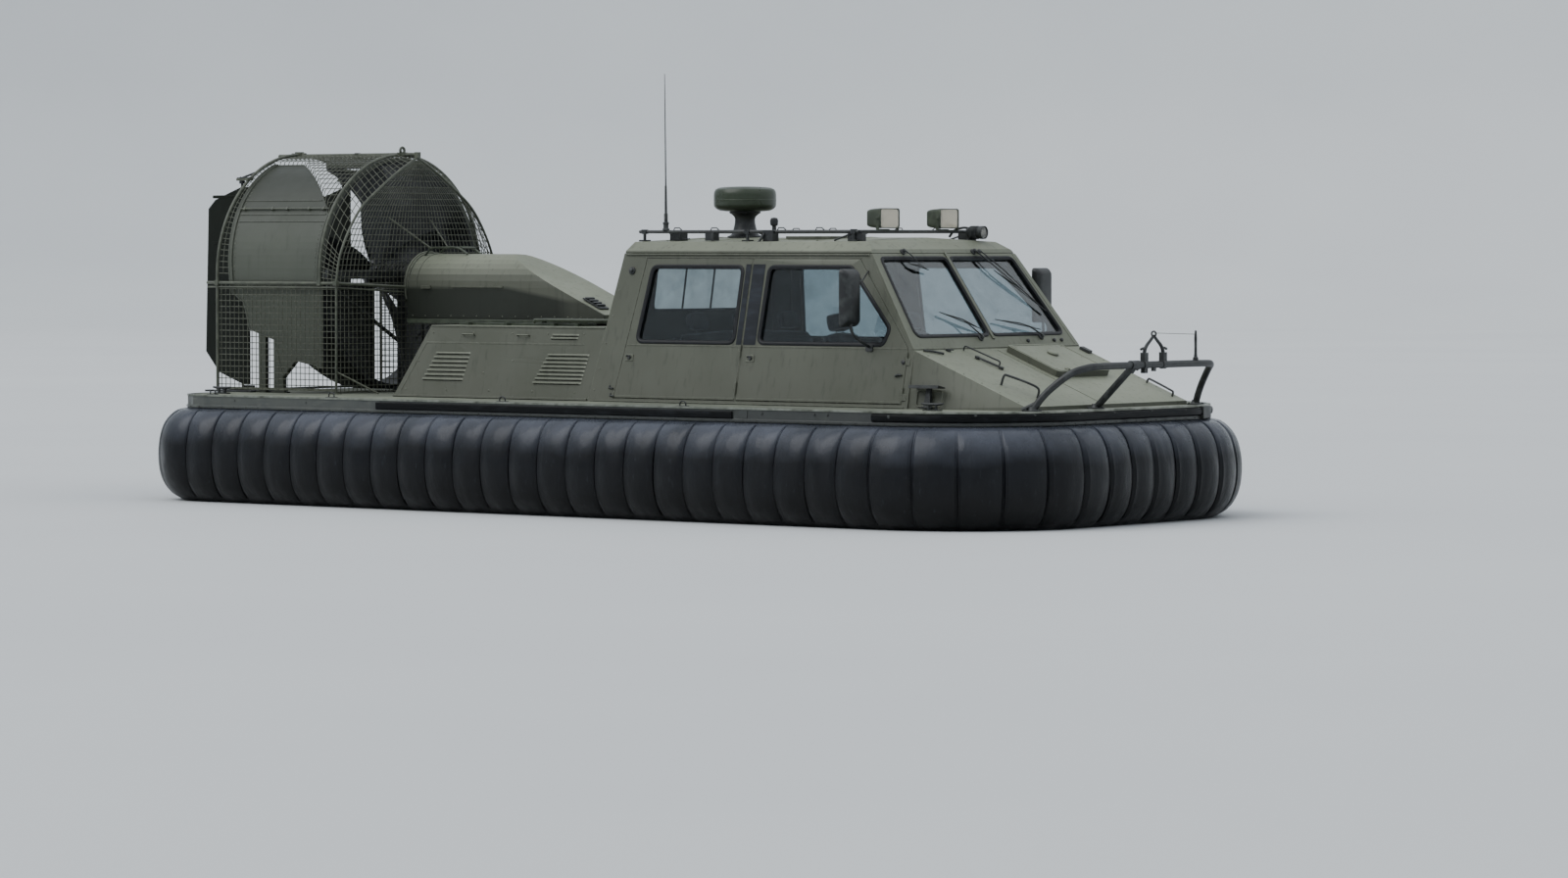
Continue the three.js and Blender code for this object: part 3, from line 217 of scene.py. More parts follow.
class Kit:
    """Gathers the faces of one joined piece. look is the number of the material in use. A place is
    a frame, or a spot to move to."""

    def __init__(self):
        self.points = []
        self.faces = []
        self.looks = []
        self.look = 0

    def add(self, points, faces, place=None):
        start = len(self.points)
        if isinstance(place, (tuple, Vector)):
            place = Matrix.Translation(place)
        self.points += [place @ Vector(p) if place else Vector(p) for p in points]
        self.faces += [[start + i for i in face] for face in faces]
        self.looks += [self.look] * len(faces)

    def skin(self, rings, closed=False, capped=True, place=None):
        """Faces over rings of points that all have the same count."""
        count = len(rings[0])
        runs = len(rings) if closed else len(rings) - 1
        faces = []
        for i in range(runs):
            here = i * count
            after = (i + 1) % len(rings) * count
            for j in range(count):
                k = (j + 1) % count
                faces.append((here + j, here + k, after + k, after + j))
        if capped and not closed:
            faces.append(tuple(range(count))[::-1])
            faces.append(tuple(range(runs * count, runs * count + count)))
        self.add([p for ring in rings for p in ring], faces, place)

    def frame(self, outlines, place):
        """A closed frame whose section is given by outlines, each with its depth."""
        rings = [at_depth(outline, depth) for outline, depth in outlines]
        self.skin([list(ring) for ring in zip(*rings)], closed=True, place=place)

    def plate(self, outline, near, far, place=None):
        self.skin([at_depth(outline, depth) for depth in (near, far)], place=place)

    def block(self, low, high, place=None):
        self.plate(oblong(low[0], low[1], high[0], high[1]), low[2], high[2], place)

    def tube(self, route, radius, sides=8, closed=False, flat=1.0, place=None):
        """A round or flattened tube along the route. radius may be a list, one for each point."""
        route = [Vector(p) for p in route]
        last = len(route) - 1
        rings = []
        normal = None
        for i, here in enumerate(route):
            before = route[i - 1] if i or closed else here
            after = route[(i + 1) % len(route)] if i < last or closed else here
            along = (after - before).normalized()
            if normal is None:
                normal = along.orthogonal() if abs(along.z) > 0.9 else along.cross((0, 0, 1))
            normal = (normal - along * normal.dot(along)).normalized()
            across = along.cross(normal)
            size = radius[i] if isinstance(radius, list) else radius
            rings.append([here + normal * a + across * b * flat for a, b in circle(size, sides)])
        self.skin(rings, closed, place=place)

    def bent(self, points, steps, radius, sides=8, place=None):
        """A tube bent smoothly through the points."""
        self.tube(curve_through(points, steps), radius, sides, place=place)

    def rod(self, start, end, radius, sides=8, place=None):
        self.tube([start, end], radius, sides, place=place)

    def turned(self, profile, place, sides=32):
        """A turned shape: (radius, height) pairs round the place's third axis."""
        self.skin([at_depth(circle(max(radius, 1e-5), sides), height) for radius, height in profile],
                  place=place)

    def bead(self, outline, width, height, place):
        """A closed rubber bead along an outline that runs counter-clockwise."""
        section = [(0, 0), (0.1, 0.7), (0.35, 1), (0.65, 1), (0.9, 0.7), (1, 0)]
        self.frame([(grown(outline, width * share), up * height) for share, up in section], place)

    def bolt(self, at, out, radius=0.009, height=0.006):
        """A six-sided bolt head on a washer."""
        out = Vector(out).normalized()
        place = out.to_track_quat("Z", "Y").to_matrix().to_4x4()
        place.translation = Vector(at)
        self.turned([(radius * 1.5, -0.002), (radius * 1.5, 0.0015)], place, 12)
        self.turned([(radius, 0.0015), (radius, height), (radius * 0.8, height + 0.0015)], place, 6)

    def side_bolt(self, x, z, radius, height, out=BOLT_GAP):
        self.bolt(on_side(x, z, out), SIDE.col[2][:3], radius, height)

    def side_plate(self, outline, far, near=GAP):
        """A plate on the leaning side, from an outline along and up."""
        self.plate(side_outline(outline), near, far, SIDE)

    def to_port(self):
        """The same piece, on the port side only."""
        other = Kit()
        other.points = [Vector((p.x, -p.y, p.z)) for p in self.points]
        other.faces = [face[::-1] for face in self.faces]
        other.looks = list(self.looks)
        return other

    def mirrored(self):
        """Adds the same faces on the port side."""
        port = self.to_port()
        self.add(port.points, port.faces)
        return self


SHARP_ANGLE = math.radians(33)


def make(name, kit, looks, edge=0.0, body="craft", replaces=()):
    """Turns a kit into a piece that rides on a body. edge is the radius of its broken edges."""
    mesh = bpy.data.meshes.new(name)
    mesh.from_pydata(kit.points, [], kit.faces)
    for look in looks if isinstance(looks, list) else [looks]:
        mesh.materials.append(look)
    mesh.polygons.foreach_set("material_index", kit.looks)
    shape = bmesh.new()
    shape.from_mesh(mesh)
    bmesh.ops.remove_doubles(shape, verts=shape.verts, dist=2e-5)
    bmesh.ops.recalc_face_normals(shape, faces=shape.faces)
    shape.to_mesh(mesh)
    shape.free()
    mesh.shade_smooth()
    mesh.set_sharp_from_angle(angle=SHARP_ANGLE)
    piece = bpy.data.objects.new(name, mesh)
    bpy.context.scene.collection.objects.link(piece)
    if edge:
        break_edges(piece, edge)
    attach(piece, body)
    if replaces:
        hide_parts(*replaces)
    return piece


def break_edges(piece, width):
    """Rounds the piece's sharp edges by that radius, and keeps its flats flat."""
    bevel = piece.modifiers.new("broken edges", "BEVEL")
    bevel.width = width
    bevel.segments = 2
    bevel.limit_method = "ANGLE"
    bevel.angle_limit = SHARP_ANGLE
    bevel.harden_normals = True


def dress(node, look, edge=0.003):
    """Gives a construction node its finish and breaks its edges."""
    piece = NODES[node]
    piece.data.materials.clear()
    piece.data.materials.append(look)
    if edge:
        weld = piece.modifiers.new("one skin", "WELD")
        weld.merge_threshold = 0.0001
        break_edges(piece, edge)


# Materials

def linear(colour):
    """sRGB hex to linear red, green and blue, with alpha."""
    shares = [int(colour[i:i + 2], 16) / 255 for i in (1, 3, 5)]
    return [c / 12.92 if c <= 0.04045 else ((c + 0.055) / 1.055) ** 2.4 for c in shares] + [1.0]


def put(tree, kind, links=(), **settings):
    """Adds a node and gives its first output. links gives the sockets, in order or by name, their
    values or the outputs that feed them."""
    made = tree.nodes.new("ShaderNode" + kind)
    for name, value in settings.items():
        setattr(made, name, value)
    for name, value in links.items() if isinstance(links, dict) else enumerate(links):
        if isinstance(value, bpy.types.NodeSocket):
            tree.links.new(value, made.inputs[name])
        else:
            made.inputs[name].default_value = value
    return made.outputs[0]


def surface(name, sockets):
    """An empty material with one shader. sockets sets its constant values."""
    material = bpy.data.materials.new(name)
    material.use_nodes = True
    tree = material.node_tree
    tree.nodes.clear()
    shader = put(tree, "BsdfPrincipled", sockets).node
    end = tree.nodes.new("ShaderNodeOutputMaterial")
    tree.links.new(shader.outputs[0], end.inputs["Surface"])
    return material, tree, shader


def where(tree, axis=None):
    """The place on the part in metres, or its distance along one axis."""
    place = put(tree, "TexCoord").node.outputs["Object"]
    return put(tree, "SeparateXYZ", [place]).node.outputs[axis] if axis else place


def grain(tree, size, low=0.0, high=1.0, detail=4.0, stretch=(1, 1, 1), bottom=0.0, top=1.0):
    """Cloudy patches of that size in millimetres, stretched along the axes. The cloud from low to
    high is drawn from bottom to top."""
    spread = put(tree, "Mapping", {"Vector": where(tree), "Scale": stretch})
    cloud = put(tree, "TexNoise", {
        "Vector": spread, "Scale": 1000 / size, "Detail": detail, "Roughness": 0.55})
    return put(tree, "MapRange", (cloud, low, high, bottom, top))


def worn_edges(tree, radius):
    """1 on edges that hands and boots rub, 0 on flats."""
    soft = put(tree, "Bevel", {"Radius": radius / 1000}, samples=4)
    flat = put(tree, "NewGeometry").node.outputs["Normal"]
    turn = put(tree, "VectorMath", (soft, flat), operation="DOT_PRODUCT").node.outputs["Value"]
    return put(tree, "MapRange", (turn, 0.99, 0.80))


def facing_up(tree, start, full):
    """0 to 1 by how much the surface faces up: from start to full, as the normal's height."""
    normal = put(tree, "NewGeometry").node.outputs["Normal"]
    rise = put(tree, "SeparateXYZ", [normal]).node.outputs["Z"]
    return put(tree, "MapRange", (rise, start, full))


def laid(tree, coat, *layers):
    """The coat with layers of (share, colour) over it. Each colour is sRGB hex or an output."""
    for share, colour in layers:
        pair = [linear(each) if isinstance(each, str) else each for each in (coat, colour)]
        coat = put(tree, "Mix", {0: share, 6: pair[0], 7: pair[1]}, data_type="RGBA").node.outputs[2]
    return coat


def feed(tree, shader, **outputs):
    """Links outputs to the shader's colour, roughness and other sockets."""
    for name, output in outputs.items():
        tree.links.new(output, shader.inputs[name.replace("_", " ")])


def bumped(tree, shader, height, depth, strength):
    """Relief of that depth in millimetres."""
    feed(tree, shader, Normal=put(tree, "Bump", {
        "Height": height, "Distance": depth / 1000, "Strength": strength}))


def cells(tree, size):
    """Pebbled relief of that size in millimetres."""
    return put(tree, "TexVoronoi", {"Vector": where(tree), "Scale": 1000 / size})


def mottled(name, sockets, patches, tones, rough=None, relief=None):
    """Two tones over cloudy patches. patches is what grain wants, rough is each tone's roughness,
    and relief is a second grain's size and detail, its depth and its strength."""
    material, tree, shader = surface(name, sockets)
    share = grain(tree, *patches)
    feed(tree, shader, Base_Color=laid(tree, tones[0], (share, tones[1])))
    if rough:
        feed(tree, shader, Roughness=put(tree, "MapRange", (share, 0, 1, *rough)))
    if relief:
        size, detail, depth, strength = relief
        height = cells(tree, size) if detail is None else grain(tree, size, detail=detail)
        bumped(tree, shader, height, depth, strength)
    return material


OLIVE_TONES = ("#4c4f43", "#57594e", "#24271f", "#8b8e7f")
# Olive drawn lighter on faces that look up: painted light
OLIVE_TOP_LIGHT = ("#737767", "#838776")


def sprayed_paint(name, tones, gloss, top_light_and_shade=None, lining=None, shade_and_lining_colour="#14161a", shine=0.4):
    """Two-pack polyurethane sprayed on sheet metal: dull, a little uneven, with fine orange peel,
    faint runs under rain, painted shade on faces that look down, and pale edges that are rubbed
    wear and a painted edge highlight at once. The tones are the fresh, faded, dirt-and-shade and
    rubbed colours. The pair after gloss is painted on faces that look up: lighter for painted
    light, darker for painted shade. The function after that gives the share of a second colour,
    which is painted shade, and a dark lining inside the duct."""
    material, tree, shader = surface(name, {"IOR": 1.5, "Specular IOR Level": shine})
    fresh, faded, dirt_and_shade, bare = tones
    cloud = grain(tree, 1400, 0.35, 0.65, 5)
    coat = laid(tree, fresh, (cloud, faded))
    # Faces that look up get their own pair of colours: a lighter pair is painted light, a darker pair
    # painted shade
    if top_light_and_shade:
        coat = laid(tree, coat, (facing_up(tree, 0.28, 0.85), laid(tree, top_light_and_shade[0], (cloud, top_light_and_shade[1]))))
    # Painted shade on faces that look down, rain runs 45 mm apart drawn out along the height, and 9 mm
    # specks of dirt
    runs = grain(tree, 45, 0.56, 0.74, 3, (1, 1, 0.08), 0.0, 0.35)
    specks = grain(tree, 9, 0.68, 0.76, 2, top=0.3)
    # Pale edges: rubbed wear, and a painted edge highlight as well
    rubbed = put(tree, "Math", (worn_edges(tree, 7), grain(tree, 60, 0.35, 0.6)), operation="MULTIPLY")
    rubbed = put(tree, "Math", (rubbed, 0.75), operation="MULTIPLY")
    coat = laid(tree, coat, (facing_up(tree, -0.12, -0.70), dirt_and_shade), (runs, dirt_and_shade), (specks, dirt_and_shade),
                (rubbed, bare))
    # A second colour over the share that lining gives: painted shade, and a dark lining inside the duct
    if lining:
        coat = laid(tree, coat, (lining(tree), shade_and_lining_colour))
    sheen = grain(tree, 300, 0.3, 0.7, bottom=gloss - 0.06, top=gloss + 0.08)
    feed(tree, shader, Base_Color=coat, Roughness=sheen)
    # Orange peel is about 2 mm across; it is drawn at 7 mm so that it shows
    bumped(tree, shader, grain(tree, 7, detail=2), 0.25, 0.5)
    return material


def hull_paint():
    """Olive on the sides, drawn lighter on the faces that look up as a painted highlight."""
    return sprayed_paint("olive polyurethane on aluminium", OLIVE_TONES, 0.55, OLIVE_TOP_LIGHT)


def inside_duct(tree):
    """1 on the duct's inner faces, and on the inner faces of the cheeks that hang under it: where the dark
    lining and painted shade go.
    """
    across = put(tree, "Math", [where(tree, "Y")], operation="ABSOLUTE")
    level = put(tree, "Math", (where(tree, "Z"), FAN_Z), operation="SUBTRACT")
    from_axis = put(tree, "CombineXYZ", {"Y": across, "Z": level})
    radius = put(tree, "VectorMath", [from_axis], operation="LENGTH").node.outputs["Value"]
    edges = (DUCT_RADIUS - 0.020, DUCT_RADIUS - 0.028)
    ring = put(tree, "MapRange", (radius, *edges))
    plate = put(tree, "MapRange", (across, *edges))
    below = put(tree, "MapRange", (level, -0.10, -0.12))
    cheek = put(tree, "Math", (plate, below), operation="MULTIPLY")
    return put(tree, "Math", (ring, cheek), operation="MAXIMUM")


def duct_paint():
    """The same paint on glass fibre, darker on the faces that look up as painted shade, and near black
    inside where the fan blows: a dark lining and painted shade at once.
    """
    return sprayed_paint("olive gelcoat on glass fibre", ("#454940", "#4f5349", "#34372f", "#7e8274"),
                         0.5, ("#262a22", "#30342b"), inside_duct)


def cowl_painted_shade(tree):
    """1 on the painted shade along the cowl's sides, under its widest line, with a soft edge that is level
    with the side seam and falls away to the front."""
    ahead = where(tree, "X")
    fall = put(tree, "MapRange", (ahead, -1.90, -1.10, 0.0, 0.130))
    level = put(tree, "Math", (where(tree, "Z"), fall), operation="ADD")
    across = put(tree, "Math", [where(tree, "Y")], operation="ABSOLUTE")
    side = put(tree, "MapRange", (across, 0.300, 0.320))
    front = put(tree, "MapRange", (ahead, -1.250, -1.050, 0.9, 0.55))
    under = put(tree, "MapRange", (level, 2.130, 2.085))
    shaded_band = put(tree, "Math", (under, side), operation="MULTIPLY")
    return put(tree, "Math", (shaded_band, front), operation="MULTIPLY")


def cowl_paint():
    """The hull's olive on glass fibre, with painted shade in dark green along each side under its widest
    line.
    """
    return sprayed_paint("olive polyurethane with painted shade", OLIVE_TONES, 0.55, OLIVE_TOP_LIGHT,
                         cowl_painted_shade, "#1a1f17")


def rudder_paint():
    """Dark green, nearly black, and dull."""
    return sprayed_paint("dark green polyurethane", ("#0f130d", "#161b13", "#0b0e09", "#333a2e"), 0.5,
                         shine=0.16)


def radome_paint():
    """Smooth green gelcoat on the radome: glossier than the hull's paint."""
    return sprayed_paint("green gelcoat", ("#2b3326", "#363f30", "#20271c", "#5c6551"), 0.30)


def deck_grit():
    """Anti-slip paint with sharp sand in it: rough and very matt, with scuffed paths."""
    material, tree, shader = surface("anti-slip deck paint", {"IOR": 1.5, "Roughness": 0.85})
    paths = grain(tree, 700, 0.4, 0.62, 5)
    dirt = grain(tree, 120, 0.55, 0.72, 6, top=0.5)
    feed(tree, shader, Base_Color=laid(tree, "#62665a", (paths, "#7b7f70"), (dirt, "#45483e")))
    # Grit of 1.5 mm, drawn at 6 mm so that it shows
    bumped(tree, shader, grain(tree, 6, detail=3), 1.2, 0.8)
    return material


def rail_aluminium():
    """Extruded marine aluminium, painted olive grey and scuffed through in long streaks."""
    material, tree, shader = surface("painted aluminium extrusion", {"IOR": 1.5})
    bare = grain(tree, 90, 0.58, 0.7, 5, (0.25, 0.25, 1))
    grime = grain(tree, 240, 0.45, 0.7, 5, top=0.6)
    # Ahead of the stern length it is drawn dark: painted shade
    painted_shade_ahead = put(tree, "MapRange", (where(tree, "X"), -2.05, -1.85, 0.0, 0.55))
    feed(tree, shader,
         Base_Color=laid(tree, "#4a4d48", (bare, "#6f726b"), (grime, "#34373a"), (painted_shade_ahead, "#1c1e1f")),
         Metallic=put(tree, "Math", (bare, 0.7), operation="MULTIPLY"),
         Roughness=put(tree, "MapRange", (grime, 0, 0.6, 0.36, 0.6)))
    bumped(tree, shader, grain(tree, 25, detail=3), 0.4, 0.4)
    return material


def bright_lip():
    """Bare aluminium edge strip, rubbed bright."""
    return mottled("rubbed aluminium strip", {"Metallic": 1.0}, (110, 0.4, 0.7, 5),
                   ("#8d9086", "#5f6259"), (0.32, 0.6), (14, 3, 0.3, 0.4))


def fender_rubber():
    """Extruded black rubber: soft satin, greyed by scuffs."""
    return mottled("extruded fender rubber", {"IOR": 1.52, "Specular IOR Level": 0.14},
                   (70, 0.54, 0.7, 5, (0.3, 0.3, 1)), ("#07080a", "#1a1c1f"), (0.38, 0.62),
                   (10, 3, 0.3, 0.5))


def window_rubber():
    """Moulded glazing rubber: dark, smooth and faintly dusty."""
    return mottled("glazing rubber", {"IOR": 1.52, "Specular IOR Level": 0.3}, (40, 0.5, 0.75),
                   ("#0a0c10", "#1a1d22"), (0.4, 0.65), (6, 2, 0.15, 0.4))


def post_film():
    """Dark blue-grey vinyl film, smooth and faintly scratched."""
    return mottled("vinyl film", {"IOR": 1.5, "Specular IOR Level": 0.35},
                   (60, 0.5, 0.75, 5, (0.2, 1, 1)), ("#12161d", "#20262f"), (0.32, 0.5),
                   (8, 2, 0.1, 0.4))


def skirt_cloth():
    """Nylon cloth coated with rubber: dark navy and wet on the upper bag, drawn lighter there as a painted
    highlight; near black towards the hem as painted shade, and duller where it scrubs on the water and the
    ground."""
    material, tree, shader = surface("rubber-coated nylon", {
        "IOR": 1.5, "Specular IOR Level": 0.22, "Coat Weight": 0.12, "Coat Roughness": 0.10,
        "Coat IOR": 1.4})
    cloud = grain(tree, 500, 0.35, 0.65, 6)
    waver = grain(tree, 420, detail=5, top=0.22)
    height = put(tree, "Math", (where(tree, "Z"), waver), operation="ADD")
    waist = put(tree, "MapRange", (height, 0.30, 0.62))
    upper = put(tree, "MapRange", (height, 0.70, 0.98))
    # Dried splashes: 30 mm marks drawn down the cloth
    splash = grain(tree, 30, 0.62, 0.78, 5, (1, 1, 0.3), top=0.3)
    # Painted shade: near black at the hem. Painted highlight: lighter on the upper bag
    coat = laid(tree, laid(tree, "#020203", (cloud, "#060607")),
                (waist, laid(tree, "#07080c", (cloud, "#0f1116"))),
                (upper, laid(tree, "#30343c", (cloud, "#474b55"))), (splash, "#3c4148"))
    dull = grain(tree, 160, 0.35, 0.65, 5, (1, 1, 0.5), 0.30, 0.52)
    wet = put(tree, "MapRange", (upper, 0.1, 0.8, 1.0, 0.65))
    feed(tree, shader, Base_Color=coat,
         Roughness=put(tree, "Math", (dull, wet), operation="MULTIPLY"))
    # Creases of 60 mm, and the weave: 1 mm threads, drawn at 5 mm so that they show
    creases = grain(tree, 60, detail=5, stretch=(1, 1, 0.35), top=7.0)
    both = put(tree, "Math", (creases, cells(tree, 5)), operation="ADD")
    bumped(tree, shader, both, 0.8, 0.8)
    return material


def powder_black(name="black powder coat", colour="#1b1d1e", chip="#3b3e3d"):
    """Powder-coated steel: satin black with a fine pebble and dusty patches."""
    material, tree, shader = surface(name, {"IOR": 1.5})
    dust = grain(tree, 80, 0.45, 0.72, 5)
    rubbed = put(tree, "Math", (worn_edges(tree, 3), 0.5), operation="MULTIPLY")
    feed(tree, shader, Base_Color=laid(tree, colour, (dust, chip), (rubbed, "#6a6d69")),
         Roughness=put(tree, "MapRange", (dust, 0, 1, 0.4, 0.6)))
    bumped(tree, shader, grain(tree, 5, detail=2), 0.15, 0.5)
    return material


def green_powder():
    """Dark green powder coat with the same pebble and dust."""
    return powder_black("dark green powder coat", "#333a2d", "#4a5142")


def cage_paint():
    """Olive paint on steel tube, rubbed pale on its edges."""
    return powder_black("olive paint on steel tube", "#43473b", "#5d6153")


def galvanised_wire():
    """Galvanised wire under thin olive paint, blotched where the zinc shows."""
    return mottled("painted galvanised wire", {"Metallic": 0.25, "Roughness": 0.55},
                   (20, 0.4, 0.65, 3), ("#474a3d", "#63665a"), relief=(6, 2, 0.1, 0.3))


def tinted_glass():
    """Toughened glass with a blue-green tint and faint dusty patches."""
    return mottled("tinted safety glass",
                   {"IOR": 1.5, "Transmission Weight": 1.0, "Specular IOR Level": 0.65},
                   (260, 0.5, 0.75, 5), ("#b4c1c6", "#9dabb0"), (0.0, 0.05))


def frosted_glass():
    """Acid-etched white glass: pale and satin."""
    return mottled("etched white glass", {"IOR": 1.5, "Coat Weight": 0.3, "Coat Roughness": 0.1},
                   (120, 0.35, 0.7), ("#9fb0b8", "#8797a0"), (0.25, 0.45))


def painted_glow_glass():
    """The same etched glass from inside, with a painted glow that stands for the daylight behind it."""
    material, tree, shader = surface("etched glass with a painted glow", {
        "IOR": 1.5, "Roughness": 0.4, "Base Color": linear("#9fb0b8"),
        "Emission Color": linear("#c3ced3")})
    feed(tree, shader, Emission_Strength=grain(tree, 180, 0.3, 0.7, bottom=0.55, top=0.80))
    return material


def waves(tree, size, direction):
    """Straight ribs of that spacing in millimetres, side by side along one axis."""
    return put(tree, "TexWave", {"Vector": where(tree), "Scale": 1000 / size / 6},
               bands_direction=direction).node.outputs["Fac"]


def lamp_glass():
    """Pressed lamp glass: clear, ribbed inside."""
    material, tree, shader = surface("pressed lamp glass", {
        "IOR": 1.5, "Transmission Weight": 0.85, "Roughness": 0.06, "Base Color": linear("#f2efe6")})
    bumped(tree, shader, waves(tree, 18, "Y"), 1.5, 0.8)
    return material


def reflector():
    """Vacuum-plated lamp reflector with dimples."""
    material, tree, shader = surface("plated reflector", {
        "Metallic": 1.0, "Roughness": 0.16, "Base Color": linear("#e8e2d4")})
    bumped(tree, shader, cells(tree, 16), 1.5, 0.7)
    return material


def mirror_glass():
    """Back-silvered mirror glass."""
    return mottled("silvered glass", {"Metallic": 1.0, "Roughness": 0.05}, (90, 0.5, 0.8),
                   ("#d4d9da", "#b4babb"))


def blade_composite():
    """Carbon composite blades under black gloss paint, greyed by spray."""
    return mottled("painted carbon composite", {"IOR": 1.5, "Coat Weight": 0.3, "Coat Roughness": 0.2},
                   (50, 0.45, 0.75, 6), ("#15171a", "#2e3134"), (0.28, 0.55), (8, 2, 0.1, 0.4))


def cast_iron():
    """Cast engine iron: grainy, oily and grey."""
    return mottled("cast iron", {"Metallic": 0.5}, (110, 0.45, 0.65, 5), ("#4c4e4c", "#232423"),
                   (0.65, 0.35), (5, 4, 1.0, 0.7))


def seat_weave():
    """Heavy woven seat cloth: dark grey, fuzzy, with a visible thread."""
    material, tree, shader = surface("woven seat cloth", {
        "Roughness": 0.92, "Sheen Weight": 0.35, "Sheen Roughness": 0.5, "IOR": 1.45})
    # Threads 2 mm apart, drawn at 8 mm so that they show
    threads = put(tree, "Math", (waves(tree, 8, "Y"), waves(tree, 8, "Z")), operation="MULTIPLY")
    pale = put(tree, "Math", (threads, 0.4), operation="MULTIPLY")
    worn = grain(tree, 160, 0.4, 0.7)
    feed(tree, shader, Base_Color=laid(tree, "#23262b", (worn, "#34383e"), (pale, "#4a4f55")))
    bumped(tree, shader, threads, 1.0, 0.6)
    return material


def moulded_plastic():
    """Black ABS with a leather grain of 1 mm, drawn at 4 mm."""
    return mottled("moulded ABS", {"IOR": 1.53}, (90, 0.45, 0.75), ("#191a1b", "#2b2d2e"),
                   (0.45, 0.65), (4, None, 0.3, 0.5))


def display_glass():
    """Switched-off displays: black glass, faintly smeared."""
    return mottled("dark display glass", {"IOR": 1.5, "Specular IOR Level": 0.6}, (60, 0.5, 0.75),
                   ("#0b0f13", "#161c21"), (0.06, 0.22))


def headliner():
    """Pale quilted vinyl under the roof and on the doors."""
    return mottled("vinyl lining", {"Roughness": 0.75, "IOR": 1.5}, (300, 0.4, 0.7),
                   ("#878c8c", "#a0a5a4"), relief=(9, None, 0.4, 0.5))


def studio_floor():
    """Matt pale studio floor with a faint tone."""
    return mottled("pale studio floor", {"Roughness": 0.75, "IOR": 1.4}, (9000, 0.3, 0.7, 3),
                   ("#cdd0d2", "#d2d5d6"))


OLIVE = hull_paint()
DUCT = duct_paint()
COWL_PAINT = cowl_paint()
RUDDER_GREEN = rudder_paint()
RADOME = radome_paint()
CAGE_PAINT = cage_paint()
GRIT = deck_grit()
RAIL_METAL = rail_aluminium()
LIP = bright_lip()
FENDER = fender_rubber()
GASKET = window_rubber()
POST_FILM = post_film()
SKIRT_CLOTH = skirt_cloth()
BLACK = powder_black()
GREEN_STEEL = green_powder()
WIRE = galvanised_wire()
GLASS = tinted_glass()
FROSTED = frosted_glass()
PAINTED_GLOW_GLASS = painted_glow_glass()
LAMP_GLASS = lamp_glass()
PLATING = reflector()
MIRROR = mirror_glass()
BLADE = blade_composite()
IRON = cast_iron()
CLOTH = seat_weave()
PLASTIC = moulded_plastic()
DISPLAY = display_glass()
LINING = headliner()


# The rail's outline, by distance from the middle of the bow: plus is to port

STERN_X = RAIL_LOW.x
BOW_X = RAIL_HIGH.x
BOW_FLAT = HALF_BEAM - BOW_RADIUS
BOW_ARC = BOW_RADIUS * math.pi / 2
SIDE_RUN = (BOW_X - BOW_RADIUS) - (STERN_X + STERN_RADIUS)
STERN_ARC = STERN_RADIUS * math.pi / 2
STERN_FLAT = HALF_BEAM - STERN_RADIUS
HALF_WAY = BOW_FLAT + BOW_ARC + SIDE_RUN + STERN_ARC + STERN_FLAT


def rail_at(distance):
    """(x, y, outward x, outward y) on the rail's outer face."""
    side = 1 if distance >= 0 else -1
    left = abs(distance)
    if left <= BOW_FLAT:
        x, y, nx, ny = BOW_X, left, 1.0, 0.0
    elif left <= BOW_FLAT + BOW_ARC:
        turn = (left - BOW_FLAT) / BOW_RADIUS
        nx, ny = math.cos(turn), math.sin(turn)
        x = BOW_X - BOW_RADIUS + BOW_RADIUS * nx
        y = BOW_FLAT + BOW_RADIUS * ny
    elif left <= BOW_FLAT + BOW_ARC + SIDE_RUN:
        x = BOW_X - BOW_RADIUS - (left - BOW_FLAT - BOW_ARC)
        y, nx, ny = HALF_BEAM, 0.0, 1.0
    elif left <= HALF_WAY - STERN_FLAT:
        turn = (left - (HALF_WAY - STERN_FLAT - STERN_ARC)) / STERN_RADIUS
        nx, ny = -math.sin(turn), math.cos(turn)
        x = STERN_X + STERN_RADIUS + STERN_RADIUS * nx
        y = STERN_FLAT + STERN_RADIUS * ny
    else:
        x, y, nx, ny = STERN_X, HALF_WAY - left, -1.0, 0.0
    return x, y * side, nx, ny * side


def off_rail(distance, out, z):
    x, y, nx, ny = rail_at(distance)
    return Vector((x + nx * out, y + ny * out, z))


def rail_bolt(kit, distance, out, z, radius, height, rise=0):
    _, _, nx, ny = rail_at(distance)
    kit.bolt(off_rail(distance, out, z), (nx, ny, rise), radius, height)


def rail_distance(x):
    """Distance along the rail from the middle of the bow to that place on its straight side."""
    return BOW_FLAT + BOW_ARC + (BOW_X - BOW_RADIUS) - x


def rail_band(kit, start, end, section, steps, closed=False):
    """Sweeps a section of (out, height) points along the rail between two distances."""
    places = spaced(start, end, steps)[:steps if closed else steps + 1]
    kit.skin([[off_rail(place, out, z) for out, z in section] for place in places], closed=closed)


def rail_piece(name, look, section, start=-HALF_WAY, end=HALF_WAY, steps=180):
    """A strip round the rail: all the way, or between two distances."""
    kit = Kit()
    rail_band(kit, start, end, section, steps, closed=end == HALF_WAY)
    make(name, kit, look)


# Skirt: an inflated bag and fingers sewn from tapered gores

SKIRT_TOP = RAIL_LOW.z - 0.0003
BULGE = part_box("skirt")[1].y - HALF_BEAM
SEAM_BULGE = BULGE * 0.84
GORE = 2 * HALF_WAY / LOBES
SKIRT_OUTSIDE = [
    (0.0, SKIRT_TOP), (0.45, 0.880), (0.83, 0.740), (1.0, 0.500), (0.93, 0.260), (0.62, 0.090)]
SKIRT_INSIDE = [
    (-0.060, 0.000), (-0.170, 0.150), (-0.4497, 0.4196), (-0.0617, 0.8996), (-0.0617, SKIRT_TOP)]


def skirt_section():
    """Smooth outer line as (share of the bulge, fixed offset, height), top to hem."""
    knots = [(share, 0.0, z) for share, z in SKIRT_OUTSIDE] + [(0.0, 0.040, 0.0)]
    return curve_through(knots, 5)


